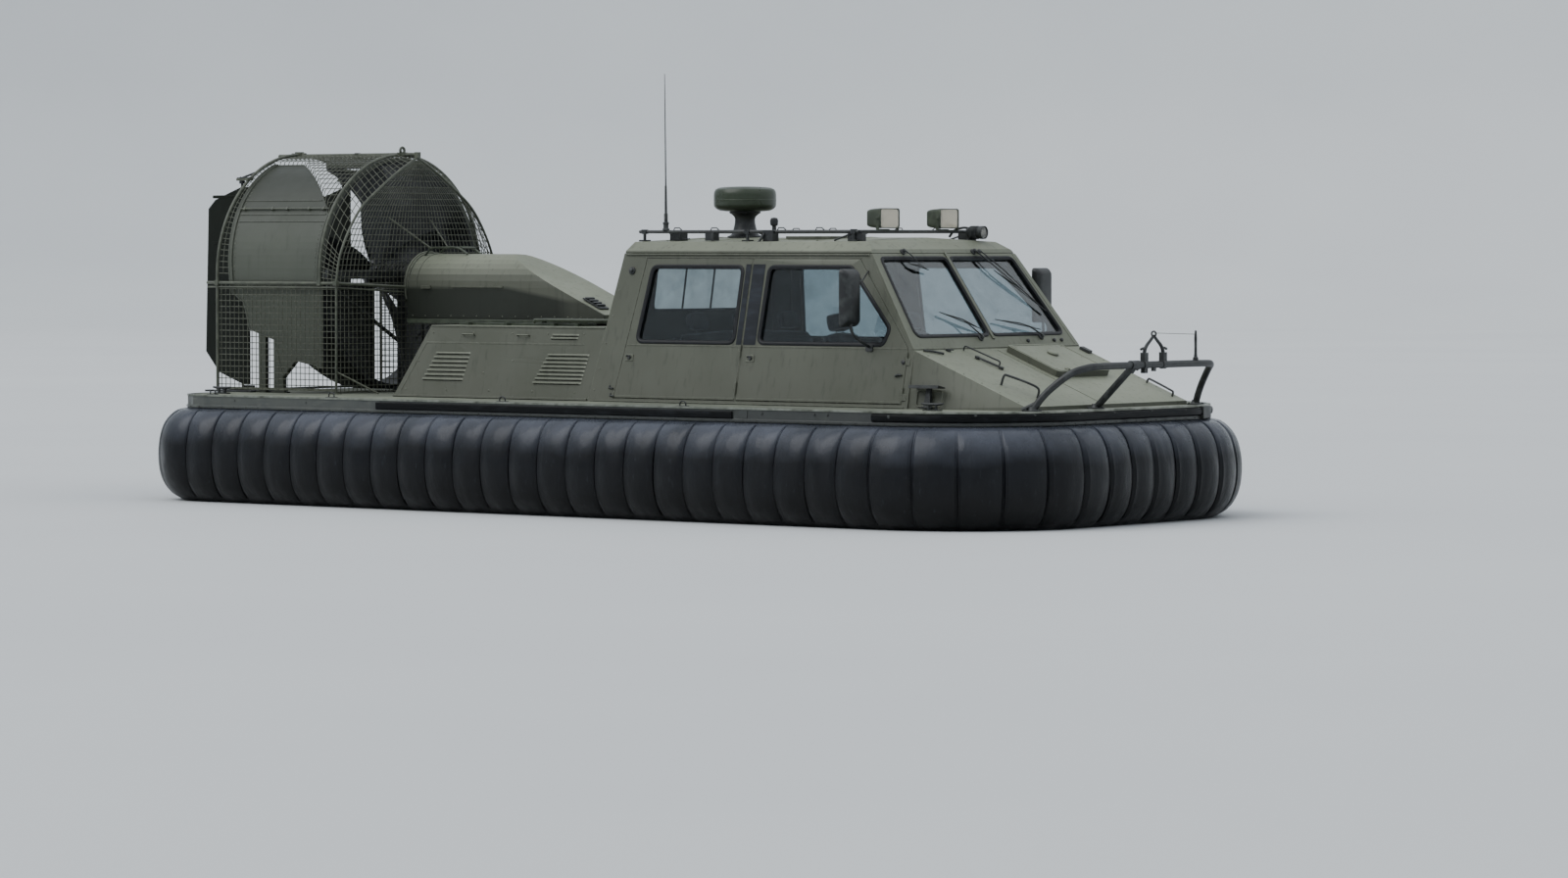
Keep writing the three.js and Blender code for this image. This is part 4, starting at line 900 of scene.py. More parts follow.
def make_skirt():
    """Each gore is drawn in at its seams, and its aft edge laps over the next one."""
    steps = 12
    section = skirt_section()
    rings = []
    for i in range(LOBES * steps):
        distance = -HALF_WAY + GORE * i / steps
        share = (i % steps) / steps
        fullness = math.sin(math.pi * share) ** 0.55 if share else 0.0
        bulge = blend(SEAM_BULGE, BULGE, fullness)
        lap = 0.011 if i % steps == 1 else 0.0
        ring = []
        for portion, fixed, z in section:
            middle = math.sin(math.pi * min(1.0, z / SKIRT_TOP))
            foot = off_rail(distance, 0, z)
            ruck = noise.noise(Vector((foot.x * 5, foot.y * 5, z * 2.2))) * 0.010
            # The cloth gathers most under the rail, where it is clamped
            gather = (0.010 if z > 0.70 else 0.006) * (1 - middle * 0.7)
            pucker = noise.noise(Vector((foot.x * 14, foot.y * 14, z * 3))) * gather
            out = portion * bulge + fixed - 0.008 * (1 - portion) * (fixed == 0) + middle * (lap + ruck)
            ring.append(off_rail(distance, out + (pucker if 0.02 < z < 0.9 else 0), z))
        ring += [off_rail(distance, out, z) for out, z in SKIRT_INSIDE]
        rings.append(ring)
    kit = Kit()
    kit.skin(rings, closed=True)
    make("skirt_bag", kit, SKIRT_CLOTH, replaces=["skirt"])


def make_seam_tapes():
    """Welded tape over each gore seam, standing a few millimetres proud."""
    lift = 0.007
    sunk = 0.012
    kit = Kit()
    for i in range(LOBES):
        distance = -HALF_WAY + GORE * i
        for side in SIDES:
            near = distance + side * 0.004
            far = distance + side * 0.016
            rings = []
            for portion, fixed, z in skirt_section()[2:-3]:
                out = portion * SEAM_BULGE + fixed - 0.008 * (1 - portion)
                rise = BULGE * 0.028 * (1 if portion > 0.3 else portion)
                rings.append([off_rail(near, out - sunk, z), off_rail(near, out + lift, z),
                              off_rail(far, out + lift + rise, z), off_rail(far, out - sunk, z)])
            kit.skin(rings)
    make("skirt_seam_tapes", kit, SKIRT_CLOTH)


# Rub rail

LIP_TOP = DECK + 0.004
BOW_FENDER_END = rail_distance(4.010)


def make_rail_strips():
    rail_piece("rail_lip_strip", LIP, [
        (-0.030, DECK - 0.002), (0.003, DECK - 0.002), (0.005, DECK - 0.014), (0.008, DECK - 0.014),
        (0.008, LIP_TOP - 0.003), (0.004, LIP_TOP), (-0.030, LIP_TOP)])
    rail_piece("skirt_clamp_batten", RAIL_METAL, [
        (-0.004, 0.9215), (0.006, 0.9215), (0.008, 0.925), (0.008, 0.949), (0.006, 0.9525),
        (-0.004, 0.9525)])
    rail_piece("bow_fender", FENDER, [
        (-0.002, 0.956), (0.010, 0.956), (0.024, 0.966), (0.030, 0.985), (0.030, 1.005),
        (0.024, 1.022), (0.010, 1.030), (-0.002, 1.030)], -BOW_FENDER_END, BOW_FENDER_END, 78)
    strip = [(-0.002, 0.953), (0.012, 0.953), (0.017, 0.965), (0.017, 1.010), (0.012, 1.021),
             (-0.002, 1.021)]
    kit = Kit()
    for side in SIDES:
        rail_band(kit, side * rail_distance(2.410), side * rail_distance(-1.970), strip, 40)
    make("side_fenders", kit, FENDER)


def make_rail_bolts():
    pitch = 0.16
    kit = Kit()
    for i in range(int(HALF_WAY / pitch)):
        for side in SIDES:
            distance = side * (pitch / 2 + i * pitch)
            rail_bolt(kit, distance, 0.0085, 0.937, 0.005, 0.003)
            if i % 6 == 1 and abs(distance) > rail_distance(-2.0):
                rail_bolt(kit, distance, 0.001, 1.000, 0.008, 0.005)
    make("rail_clamp_bolts", kit, RAIL_METAL)
    kit = Kit()
    for side in SIDES:
        for x in (2.75, 3.35, 3.50, 4.20):
            out = 0.001 if x < 4 else 0.029
            kit.bolt(off_rail(side * rail_distance(x), out, 1.006), (0, side, 0), 0.011, 0.007)
        for i in range(4):
            rail_bolt(kit, side * (0.30 + i * 0.55), 0.022, 1.021, 0.008, 0.005, 1.2)
    make("fender_bolts", kit, RAIL_METAL)


def make_rail_joints():
    """Cover plates where lengths of rail meet, and the end piece on the port bow."""
    kit = Kit()
    for distance in (-8.9, -6.7, -4.4, 4.4, 6.7, 8.9):
        rail_band(kit, distance - 0.045, distance + 0.045, oblong(-0.002, 0.955, 0.005, 1.033), 3)
    port_bow = BOW_FLAT + BOW_ARC * 0.18
    rail_band(kit, port_bow - 0.11, port_bow + 0.11, [
        (-0.002, 0.925), (0.036, 0.925), (0.040, 0.935), (0.040, 1.030), (0.034, 1.040),
        (-0.002, 1.040)], 6)
    make("rail_cover_plates", kit, RAIL_METAL, edge=0.002)


# Deck fittings

def make_deck_fittings():
    """Lashing eyes and low cleats along the side decks and the stern."""
    kit = Kit()
    for distance in (-11.2, -9.6, -7.4, -5.2, 5.2, 7.4, 9.6, 11.2):
        _, _, nx, ny = rail_at(distance)
        base = Matrix.Translation(off_rail(distance, -0.11, DECK))
        base = base @ Matrix.Rotation(math.atan2(-nx, ny), 4, "Z")
        kit.plate(pad(0, 0, 0.06, 0.03, 0.015), GAP, 0.006, base)
        kit.bent([(-0.035, 0, 0.004), (-0.03, 0, 0.035), (0, 0, 0.048), (0.03, 0, 0.035),
                  (0.035, 0, 0.004)], 4, 0.007, place=base)
    for x in (4.35, -4.45):
        for side in SIDES:
            base = (x, side * 1.72, DECK)
            kit.block((-0.09, -0.03, GAP), (0.09, 0.03, 0.01), base)
            for step in (-0.04, 0.04):
                kit.rod((step, 0, 0.005), (step, 0, 0.055), 0.014, 12, base)
            kit.tube([(-0.12, 0, 0.065), (-0.06, 0, 0.058), (0.06, 0, 0.058), (0.12, 0, 0.065)],
                     [0.009, 0.014, 0.014, 0.009], 12, place=base)
    make("deck_eyes_and_cleats", kit, BLACK, edge=0.0015)


# Cabin doors: each is described once, for the starboard side

DOORS = {
    "rear": {
        "foot": (0.370, 1.829), "lean": 0.145, "hinge": (1.835, (1.200, 1.540)),
        "window": [(0.570, 1.628), (1.727, 1.628), (1.724, 2.320), (0.648, 2.320)],
        "post": (1.766, 1.826), "handle": (0.500, 1.470),
    },
    "front": {
        "foot": (1.847, 3.763), "lean": 0.0, "hinge": (3.769, (1.180, 1.500)),
        "window": [(2.032, 1.630), (3.470, 1.630), (3.520, 1.770), (2.992, 2.320), (2.050, 2.320)],
        "post": (1.851, 1.992), "handle": (1.955, 1.480),
    },
}
WINDOW_RADIUS = 0.055


def both_doors(name, build, look, edge=0.0):
    """Makes a piece on each starboard door and its mirror on the port one."""
    for door, sizes in DOORS.items():
        kit = Kit()
        build(kit, sizes)
        make(f"{door}_{name}_starboard", kit, look, edge, f"{door}_door_starboard_body")
        make(f"{door}_{name}_port", kit.to_port(), look, edge, f"{door}_door_port_body")


def glazing(kit, pane, panel, bead, lip_gap):
    """Rubber frame of a pane: an outer bead of that width and height, and the lip that holds the
    glass."""
    kit.bead(rounded(grown(pane, -0.006), WINDOW_RADIUS), *bead, panel)
    lip = rounded(grown(pane, -lip_gap), WINDOW_RADIUS - 0.006)
    edge = rounded(grown(pane, -0.0008), WINDOW_RADIUS)
    kit.frame([(lip, 0.004), (lip, -0.0175), (edge, -0.0175), (edge, 0.004)], panel)


def window_seal(kit, door):
    glazing(kit, side_outline(door["window"]), SIDE, (0.034, 0.009), 0.013)


def door_blackout(kit, door):
    """Dark film on the post between the two windows, from one rubber to the other."""
    x0, x1 = door["post"]
    kit.side_plate(oblong(x0, 1.604, x1, 2.350), 0.0030)


def door_plate(kit, door):
    """Small dished handle plate and the hinges' bolts."""
    x, z = door["handle"]
    kit.side_plate(pad(x, z, 0.050, 0.034, 0.014), 0.006)
    kit.bead(side_outline(pad(x, z, 0.036, 0.022, 0.012)), 0.006, 0.009, SIDE)
    hinge_x, heights = door["hinge"]
    for height in heights:
        for step in (0.015, 0.045):
            kit.side_bolt(hinge_x - 0.024, height + step, 0.005, 0.004, 0.0045)


def door_knob(kit, door):
    """Folding ring handle over its lock barrel. The front door has a lever and a lock at its hinge
    edge too."""
    x, z = door["handle"]
    kit.turned([(0.017, 0.0060), (0.017, 0.015), (0.012, 0.020), (0.0, 0.021)],
               facing_out(SIDE, on_side(x + 0.006, z - 0.004)), 20)
    kit.bent([on_side(x - 0.026, z + 0.010, 0.010), on_side(x - 0.020, z + 0.014, 0.020),
              on_side(x + 0.014, z + 0.012, 0.024), on_side(x + 0.028, z + 0.006, 0.016)], 4, 0.006)
    if door is DOORS["front"]:
        kit.tube([on_side(3.660, 1.340, 0.008), on_side(3.700, 1.350, 0.018),
                  on_side(3.735, 1.352, 0.008)], [0.009, 0.012, 0.007])
        kit.turned([(0.020, GAP), (0.020, 0.008), (0.012, 0.012), (0.0, 0.0125)],
                   facing_out(SIDE, on_side(3.730, 1.468)), 18)


def door_trims(kit, door):
    """Pressed belt line below the window, and the weather strip along the bottom edge."""
    left, right = door["foot"]
    belt = 1.583
    low = left + door["lean"] * (belt - 1.09)
    kit.side_plate([(low + 0.012, belt), (right - 0.012, belt), (right - 0.012, belt + 0.012),
                    (low + 0.014, belt + 0.012)], 0.004)
    kit.side_plate([(left + 0.006, 1.094), (right - 0.006, 1.094), (right - 0.006, 1.112),
                    (left + 0.008, 1.112)], 0.006)


def door_lining(kit, door):
    """Inner trim panel with an armrest."""
    left, right = door["foot"]
    x0 = left + 0.10
    x1 = right - 0.10
    kit.side_plate(rounded([(x0, 1.15), (x1, 1.15), (x1, 1.56), (x0 + 0.04, 1.56)], 0.04),
                   -0.0453, -0.057)
    kit.side_plate(oblong(x0 + 0.25, 1.36, x1 - 0.25, 1.42, 0.02), -0.0565, -0.095)


# Cabin trims

def make_cabin_trims():
    kit = Kit()
    # Corner strips up the windscreen posts
    screen_turn = SCREEN.to_3x3()
    side_turn = SIDE.to_3x3()
    rings = []
    for z in spaced(CREASE_Z + 0.01, CABIN_TOP - 0.005, 8):
        corner = Vector((CREASE_X - SCREEN_RAKE * (z - CREASE_Z), -side_half(z), z))
        rings.append([corner + step for step in (
            screen_turn @ Vector((0.052, 0, GAP)), screen_turn @ Vector((0.052, 0, 0.004)),
            Vector((0.005, -0.005, 0)), side_turn @ Vector((-0.030, 0, 0.004)),
            side_turn @ Vector((-0.030, 0, GAP)))])
    kit.skin(rings)
    # Sill strip under the doors and drip rail over them
    kit.side_plate(oblong(0.09, 1.054, 3.80, 1.064), 0.010)
    kit.side_plate([(0.300, 2.432), (3.190, 2.432), (3.180, 2.444), (0.302, 2.444)], 0.016)
    make("cabin_corner_and_drip_strips", kit.mirrored(), OLIVE, edge=0.0015)

    kit = Kit()
    # Fasteners up the rear post and under the drip rail
    for z in (1.16, 1.36, 1.60, 1.86, 2.10):
        kit.side_bolt(REAR_WALL_X + REAR_WALL_SLOPE * (z - DECK) + 0.045, z, 0.006, 0.003)
    for x in (0.7, 1.3, 1.9, 2.5, 3.1):
        kit.side_bolt(x, 2.418, 0.005, 0.003)
    make("cabin_fasteners", kit.mirrored(), OLIVE)

    kit = Kit()
    lamp = facing_out(SIDE, on_side(0.395, 2.285))
    kit.turned([(0.036, GAP), (0.036, 0.012), (0.030, 0.016)], lamp, 24)
    kit.turned([(0.022, 0.014), (0.022, 0.030), (0.012, 0.038), (0.0, 0.040)], lamp, 20)
    # Striker knobs of the latches at the rear door's lower corner
    for x, z in ((0.330, 1.180), (0.352, 1.108)):
        kit.rod(on_side(x - 0.025, z, 0.006), on_side(x + 0.030, z - 0.006, 0.010), 0.009)
        kit.side_bolt(x - 0.02, z + 0.018, 0.007, 0.006)
    make("side_lamp_and_latches", kit.mirrored(), BLACK, edge=0.001)


SCREEN_PANE = [(-1.150, 1.703), (-0.030, 1.703), (-0.030, 2.405), (-1.020, 2.405)]


def make_screen_trims():
    kit = Kit()
    glazing(kit, screen_outline(SCREEN_PANE), SCREEN, (0.030, 0.011), 0.014)
    make("windscreen_rubber", kit.mirrored(), GASKET)
    kit = Kit()
    kit.plate(screen_outline(oblong(-0.017, 1.66, 0.017, 2.455)), GAP, 0.014, SCREEN)
    for z in (1.68, 1.86, 2.04, 2.22, 2.40):
        kit.bolt(on_screen(0, z, 0.0145), SCREEN.col[2][:3], 0.005, 0.003)
    make("windscreen_centre_strip", kit, OLIVE, edge=0.002)


def wiper(kit, pivot, elbow, blade_start, blade_end):
    """One wiper: pivot cap, sprung arm and a blade on two claws. Points are (y, z) on the screen."""

    def on_blade(share, out):
        return on_screen(*[blend(a, b, share) for a, b in zip(blade_start, blade_end)], out)

    kit.turned([(0.030, GAP), (0.030, 0.010), (0.020, 0.022), (0.020, 0.034), (0.012, 0.042)],
               facing_out(SCREEN, on_screen(*pivot)), 20)
    arm = [on_screen(*pivot, 0.034), on_screen(*elbow, 0.048), on_blade(0.5, 0.040)]
    kit.tube(curve_through(arm, 6), spaced(0.013, 0.006, 12), flat=0.6)
    kit.tube([on_blade(share, 0.017) for share in spaced(0, 1, 4)], 0.009, 6, flat=0.5)
    claws = ((0.15, 0.020), (0.35, 0.032), (0.5, 0.038), (0.65, 0.032), (0.85, 0.020))
    kit.tube([on_blade(share, out) for share, out in claws], 0.006, 6)


def make_wipers():
    kit = Kit()
    wiper(kit, (-0.197, 1.668), (-0.27, 1.715), (-0.12, 1.745), (-0.62, 1.905))
    wiper(kit, (0.759, 1.668), (0.60, 1.740), (0.80, 1.730), (0.18, 1.830))
    wiper(kit, (0.455, 2.462), (0.60, 2.30), (0.60, 2.285), (1.060, 1.900))
    # The long wiper's second, parallel arm
    kit.bent([on_screen(0.53, 2.458, 0.034), on_screen(0.69, 2.28, 0.050),
              on_screen(0.86, 2.10, 0.042)], 6, 0.006)
    kit.turned([(0.020, GAP), (0.020, 0.030), (0.012, 0.038)],
               facing_out(SCREEN, on_screen(0.53, 2.458)), 16)
    wiper(kit, (-0.645, 2.462), (-0.60, 2.40), (-0.66, 2.350), (-0.42, 2.290))
    make("windscreen_wipers", kit, BLACK)


# Nose

def nose_bar(kit, steps, radius, *points):
    """A grab bar bent through (x, y, out) points on the nose."""
    kit.bent([on_nose(*point) for point in points], steps, radius, 10)


def make_nose_fittings():
    kit = Kit()
    # Long grab bar beside the hatch, with the stowed pole along it
    nose_bar(kit, 4, 0.0075, (3.870, -0.595, 0.004), (3.872, -0.595, 0.045), (3.93, -0.590, 0.052),
             (4.15, -0.545, 0.050), (4.215, -0.530, 0.045), (4.220, -0.528, 0.004))
    kit.rod(on_nose(4.03, -0.640, 0.018), on_nose(4.30, -0.575, 0.018), 0.010, 10)
    for x, y in ((4.05, -0.634), (4.28, -0.580)):
        kit.block((-0.014, -0.02, 0), (0.014, 0.02, 0.026), facing_out(NOSE, on_nose(x, y, GAP)))
    # Grab handle near the toe
    nose_bar(kit, 4, 0.011, (4.600, -1.020, 0.002), (4.590, -1.005, 0.085), (4.62, -0.985, 0.100),
             (4.80, -0.900, 0.100), (4.875, -0.865, 0.080), (4.885, -0.860, 0.002))
    # Line hook, spring clip and vents along the crease
    kit.tube([on_nose(3.862, -1.200, 0.012), on_nose(3.90, -1.10, 0.016),
              on_nose(3.940, -1.000, 0.012)], 0.010)
    kit.turned([(0.026, GAP), (0.026, 0.014), (0.016, 0.020)],
               facing_out(NOSE, on_nose(3.868, -0.83)), 16)
    kit.rod(on_nose(3.868, -0.86, 0.02), on_nose(3.90, -0.80, 0.026), 0.006)
    for y in (0.52, 0.94, 1.06):
        kit.turned([(0.018, GAP), (0.018, 0.016), (0.010, 0.022)],
                   facing_out(SCREEN, on_screen(y, 1.635)), 14)
    # Rail beside the port edge, and a stop block
    nose_bar(kit, 4, 0.010, (4.66, 1.215, 0.002), (4.665, 1.215, 0.040), (4.70, 1.212, 0.048),
             (4.92, 1.195, 0.048), (4.955, 1.193, 0.040), (4.96, 1.193, 0.002))
    kit.block((-0.055, -0.03, GAP), (0.055, 0.03, 0.028), facing_out(NOSE, on_nose(3.95, 1.235)))
    make("nose_grab_bars", kit, BLACK, edge=0.001)

    kit = Kit()
    # Crease strip, panel joint beside the hatch and the bolts down the wedge
    kit.plate(screen_outline([(-1.295, 1.582), (1.295, 1.582), (1.290, 1.596), (-1.290, 1.596)]),
              GAP, 0.006, SCREEN)
    start, end = [(x - CREASE_X) * SLOPE_LENGTH for x in (3.87, 5.03)]
    kit.plate(oblong(start, -0.075, end, -0.063), GAP, 0.004, NOSE)
    for x in (3.95, 4.15, 4.35, 4.55, 4.75, 4.95):
        for y in (-1.245, 1.245, -0.069):
            kit.bolt(on_nose(x, y, BOLT_GAP), NOSE.col[2][:3], 0.006, 0.003)
    make("nose_joint_strips", kit, OLIVE, edge=0.001)


def make_side_step():
    """Fixed step on the nose side: a ribbed tread with a turned-down edge, on one post over a
    dished plate."""
    kit = Kit()
    wall = basis((0, 0.014 - SIDE_HALF, DECK), (1, 0, 0), (0, 0.20, 1))
    kit.plate(oblong(3.900, 0.190, 4.230, 0.202), 0.003, 0.115, wall)
    kit.plate(oblong(3.900, 0.172, 4.230, 0.191), 0.107, 0.115, wall)
    for i in range(9):
        x = 3.918 + i * 0.036
        kit.plate(oblong(x, 0.202, x + 0.012, 0.206), 0.020, 0.100, wall)
    kit.plate([(4.030, 0.010), (4.105, 0.010), (4.090, 0.191), (4.045, 0.191)], 0.003, 0.034, wall)
    kit.plate(oblong(4.010, 0.004, 4.125, 0.020), 0.003, 0.046, wall)
    make("side_steps", kit.mirrored(), BLACK, edge=0.0015)
    kit = Kit()
    kit.bead(oblong(3.930, 0.030, 4.200, 0.165, 0.03), 0.012, 0.006,
             wall @ Matrix.Translation((0, 0, GAP)))
    make("side_step_surrounds", kit.mirrored(), OLIVE)


def make_hatch_details():
    """Raised rim, two lever latches and a vent on the nose hatch. They ride on the lid."""
    kit = Kit()
    kit.bead(oblong(0.090, 0.040, 0.670, 0.830, 0.05), 0.018, 0.006,
             NOSE @ Matrix.Translation((0, 0, 0.0602)))
    for y in (0.20, 0.66):
        kit.block((0.640, y - 0.022, 0.0602), (0.682, y + 0.022, 0.070), NOSE)
        kit.tube([(0.650, y, 0.070), (0.680, y, 0.076), (0.704, y, 0.064)], [0.007, 0.006, 0.005],
                 place=NOSE)
    kit.turned([(0.055, 0.060), (0.055, 0.075), (0.042, 0.085), (0.0, 0.088)],
               NOSE @ Matrix.Translation((0.30, 0.435, 0)), 28)
    for x in (0.13, 0.38, 0.63):
        for y in (0.075, 0.795):
            kit.bolt(NOSE @ Vector((x, y, 0.0605)), NOSE.col[2][:3], 0.005, 0.003)
    make("hatch_rim_and_latches", kit, OLIVE, 0.001, "nose_hatch_body")


# Engine housing and cowl

LOUVRES = [
    # rear x, front x, lowest slot's z, pitch, slots
    (-2.070, -1.560, 1.215, 0.042, 7),
    (-0.650, -0.060, 1.200, 0.038, 8),
    (-0.500, -0.170, 1.625, 0.030, 2),
]
HOUSING_SLOPE = 0.5314
HOUSING_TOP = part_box("engine_housing")[1].z


def make_louvres():
    """Pressed hoods over the air slots, open downwards."""
    hood = [(0.026, GAP), (0.018, 0.009), (0.008, 0.013), (0.006, 0.0115), (0.015, 0.0065),
            (0.0175, GAP)]
    kit = Kit()
    for rear, front, lowest, pitch, count in LOUVRES:
        for i in range(count):
            z = lowest + i * pitch
            lean = HOUSING_SLOPE * (z - lowest)
            x0 = rear + lean - 0.008
            x1 = front + lean * 0.4 + 0.008
            kit.skin([[on_side(x, z + up, max(GAP, out * flat)) for up, out in hood]
                      for x, flat in ((x0, 0.15), (x0 + 0.02, 1), (x1 - 0.02, 1), (x1, 0.15))])
    make("louvre_hoods", kit.mirrored(), OLIVE)


def make_housing_trims():
    kit = Kit()
    seam = [(-2.345, 1.115), (-2.095, 1.590), (-0.085, 1.590), (-0.070, 1.575), (-2.085, 1.575),
            (-2.330, 1.115)]
    kit.side_plate(seam, 0.003)
    for x, z in ((-2.28, 1.13), (-1.75, 1.13), (-1.2, 1.13), (-0.65, 1.13), (-0.12, 1.13),
                 (-2.02, 1.68), (-1.5, 1.68), (-1.0, 1.68), (-0.55, 1.68), (-0.10, 1.68),
                 (-2.16, 1.40), (-1.30, 1.30), (-0.95, 1.42)):
        kit.side_bolt(x, z, 0.007, 0.004)
    # Grab handles along the top edge
    for x in (-1.55, -0.85):
        grip = ((-0.07, 0.002), (-0.065, 0.028), (0, 0.032), (0.065, 0.028), (0.07, 0.002))
        kit.bent([on_side(x + step, 1.66, out) for step, out in grip], 4, 0.007)
    # Folded flange along the deck, and the top edge's cap
    kit.side_plate([(-2.425, 1.054), (0.050, 1.054), (0.052, 1.072), (-2.415, 1.072)], 0.020)
    kit.side_plate([(-2.050, 1.736), (0.150, 1.736), (0.152, 1.749), (-2.045, 1.749)], 0.008)
    make("housing_flanges_and_handles", kit.mirrored(), OLIVE, edge=0.0015)

    kit = Kit()
    # Trays and pipes on top of the housing beside the cowl
    top = HOUSING_TOP + GAP
    for y0, y1, high in ((-0.98, -0.52, 0.022), (-0.80, -0.60, 0.045)):
        kit.block((-1.95, y0, top), (-0.35, y1, top + high))
    pipe_z = top + 0.058
    for y in (-0.90, -0.86, -1.02):
        kit.bent([(-0.95, y, top + 0.030), (-0.93, y, top + 0.055), (-0.88, y, pipe_z),
                  (-0.20, y, pipe_z), (0.05, y + 0.10, pipe_z), (0.10, y + 0.2, pipe_z)], 4, 0.014, 10)
    for x in (-1.8, -1.3, -0.7, -0.4):
        kit.block((x - 0.02, -1.04, top), (x + 0.02, -0.50, top + 0.028))
    make("housing_top_trays", kit.mirrored(), GREEN_STEEL, edge=0.003)


COWL_HALF = 0.330
COWL_CENTRE = 2.110
COWL_REAR = -3.2655


def cowl_ring(radius, turns, x):
    """Places round the cowl's rear end: turn 0 is to port, and 90 degrees is the crown."""
    return [(x, radius * math.cos(math.radians(turn)), COWL_CENTRE + radius * math.sin(math.radians(turn)))
            for turn in turns]


def make_cowl_details():
    """Bolted rear flange, side seam ridge, latches and the rivet rows of the cowl."""
    kit = Kit()
    for place in cowl_ring(0.338, spaced(-62, 242, 19), COWL_REAR):
        kit.bolt(place, (-1, 0, 0), 0.006, 0.006)
    kit.tube(cowl_ring(0.350, range(-20, 201, 11), -3.235), 0.010)
    kit.tube(cowl_ring(0.333, range(0, 181, 9), -3.10), 0.005)
    for side in SIDES:
        y = side * (COWL_HALF + GAP)
        wall = basis((0, y, 0), (-side, 0, 0), (0, 0, 1))
        for x0, x1, low, high, out in ((-2.62, -1.95, 2.108, 2.122, 0.012),
                                       (-3.02, -2.90, 2.095, 2.125, 0.022)):
            ends = sorted((-side * x0, -side * x1))
            kit.plate(oblong(ends[0], low, ends[1], high), 0.0, out, wall)
        for i in range(14):
            kit.bolt((-3.15 + i * 0.17, y, 1.825), (0, side, 0), 0.005, 0.003)
        for i in range(5):
            kit.bolt((-0.66 - i * 0.1, y, 1.81), (0, side, 0), 0.005, 0.003)
    make("cowl_flange_and_latches", kit, OLIVE, edge=0.001)

    kit = Kit()
    # Lifting frame on the crown, and the grille in the front end
    crown = COWL_CENTRE + COWL_HALF
    for y in (-0.10, 0.10):
        kit.bent([(-3.19, y, crown - 0.02), (-3.10, y, crown + 0.055), (-2.98, y, crown + 0.062),
                  (-2.76, y, crown + 0.062), (-2.62, y, crown)], 4, 0.011, 10)
    for x in (-3.04, -2.70):
        kit.rod((x, -0.10, crown + 0.06), (x, 0.10, crown + 0.06), 0.009)
    for i in range(4):
        kit.block((-0.6495, -0.22, 1.806 + i * 0.011), (-0.640, 0.22, 1.811 + i * 0.011))
    make("cowl_lifting_frame", kit, GREEN_STEEL)

    kit = Kit()
    vent = basis((-0.87, -0.255, 1.952), (0.905, 0, -0.425), (0, 1, 0))
    for i in range(4):
        kit.block((-0.10 + i * 0.05, 0, 0.012), (-0.075 + i * 0.05, 0.12, 0.030), vent)
    kit.block((-0.12, -0.01, GAP), (0.12, 0.13, 0.014), vent)
    make("cowl_front_vent", kit, BLACK, edge=0.001)


# Duct, cage and its wire mesh

LIP_X = -3.605
LIP_RADIUS = 1.200
ARCH_X = -5.000
ARCH_RADIUS = 1.215
BAR_Z = 2.150
TOP_BAR_Z = 3.440
# Port half of the front hoop, across and up
FRONT_HOOP = [
    (0, 3.410), (0.270, 3.273), (0.589, 3.076), (0.819, 2.909), (0.992, 2.698), (1.136, 2.435),
    (1.195, 2.180), (1.200, DECK)]
# Lower edge of the duct's cheeks, along and up
CHEEK_EDGE = [
    (-4.850, 2.053), (-4.680, 1.950), (-4.600, 1.680), (-4.260, 1.580), (-4.140, 1.200),
    (-3.960, 1.374), (-3.610, 1.309)]
# Slanting rear edge of the tunnel under the fan, up and along
TUNNEL_EDGE = [(1.000, -4.090), (1.250, -4.160), (2.000, -4.460), (2.300, -4.620)]
# The crown is cut open from the rear edge forward, and each side widens ahead of its shoulder
CROWN_HALF = 0.380
CROWN_FRONT = (-3.585, 1.060)
CROWN_SHOULDER = {-1: -4.590, 1: -4.950}
WEDGE = [(-3.610, 0.360), (-4.300, 0.360), (-4.550, 0.0)]
WIRE_PITCH = 0.060
WIRE_RADIUS = 0.0040  # a 4 mm wire, drawn twice as thick so that it shows
QUARTER = math.pi / 2


def round_point(turn, radius, x):
    """A place round the fan's axis: turn 0 is the top, and plus is to port."""
    return Vector((x, radius * math.sin(turn), FAN_Z + radius * math.cos(turn)))


def arch_point(turn, radius, x):
    """A place on an arch over the fan. Past a right angle it runs straight down."""
    extra = max(0.0, abs(turn) - QUARTER)
    spot = round_point(math.copysign(min(abs(turn), QUARTER), turn), radius, x)
    return spot - Vector((0, 0, extra * radius))


def arch(radius, x, foot):
    """The route of an arch over the fan, from its starboard foot to its port foot."""
    crown = [round_point(turn, radius, x) for turn in spaced(-QUARTER, QUARTER, 48)]
    return [Vector((x, -radius, foot))] + crown + [Vector((x, radius, foot))]


def along_table(table, value):
    """The second column where the first one, which rises, has that value."""
    for (a0, b0), (a1, b1) in zip(table, table[1:]):
        if value <= a1:
            return blend(b0, b1, max(0.0, (value - a0) / (a1 - a0)))
    return table[-1][1]


def hoop_height(y):
    """Height of the front hoop at that distance from the centre line."""
    return along_table(FRONT_HOOP, abs(y))


def hoop_half(z):
    """Half-width of the front hoop at that height."""
    return along_table([(high, half) for half, high in reversed(FRONT_HOOP)], z)


def duct_rear(z):
    """Where the duct's rear edge is at that height: it leans aft towards the crown."""
    return along_table([(2.070, -4.850), (3.340, -4.985)], z)


def crown_edge(x, side):
    """Half-width of the opening in the crown."""
    start = CROWN_SHOULDER[side]
    front_x, front_half = CROWN_FRONT
    return blend(CROWN_HALF, front_half, max(0.0, (x - start) / (front_x - start)))


def crown_edge_x(y, side):
    """Where the opening's edge meets that distance from the centre line."""
    front_x, front_half = CROWN_FRONT
    return blend(CROWN_SHOULDER[side], front_x, (abs(y) - CROWN_HALF) / (front_half - CROWN_HALF))


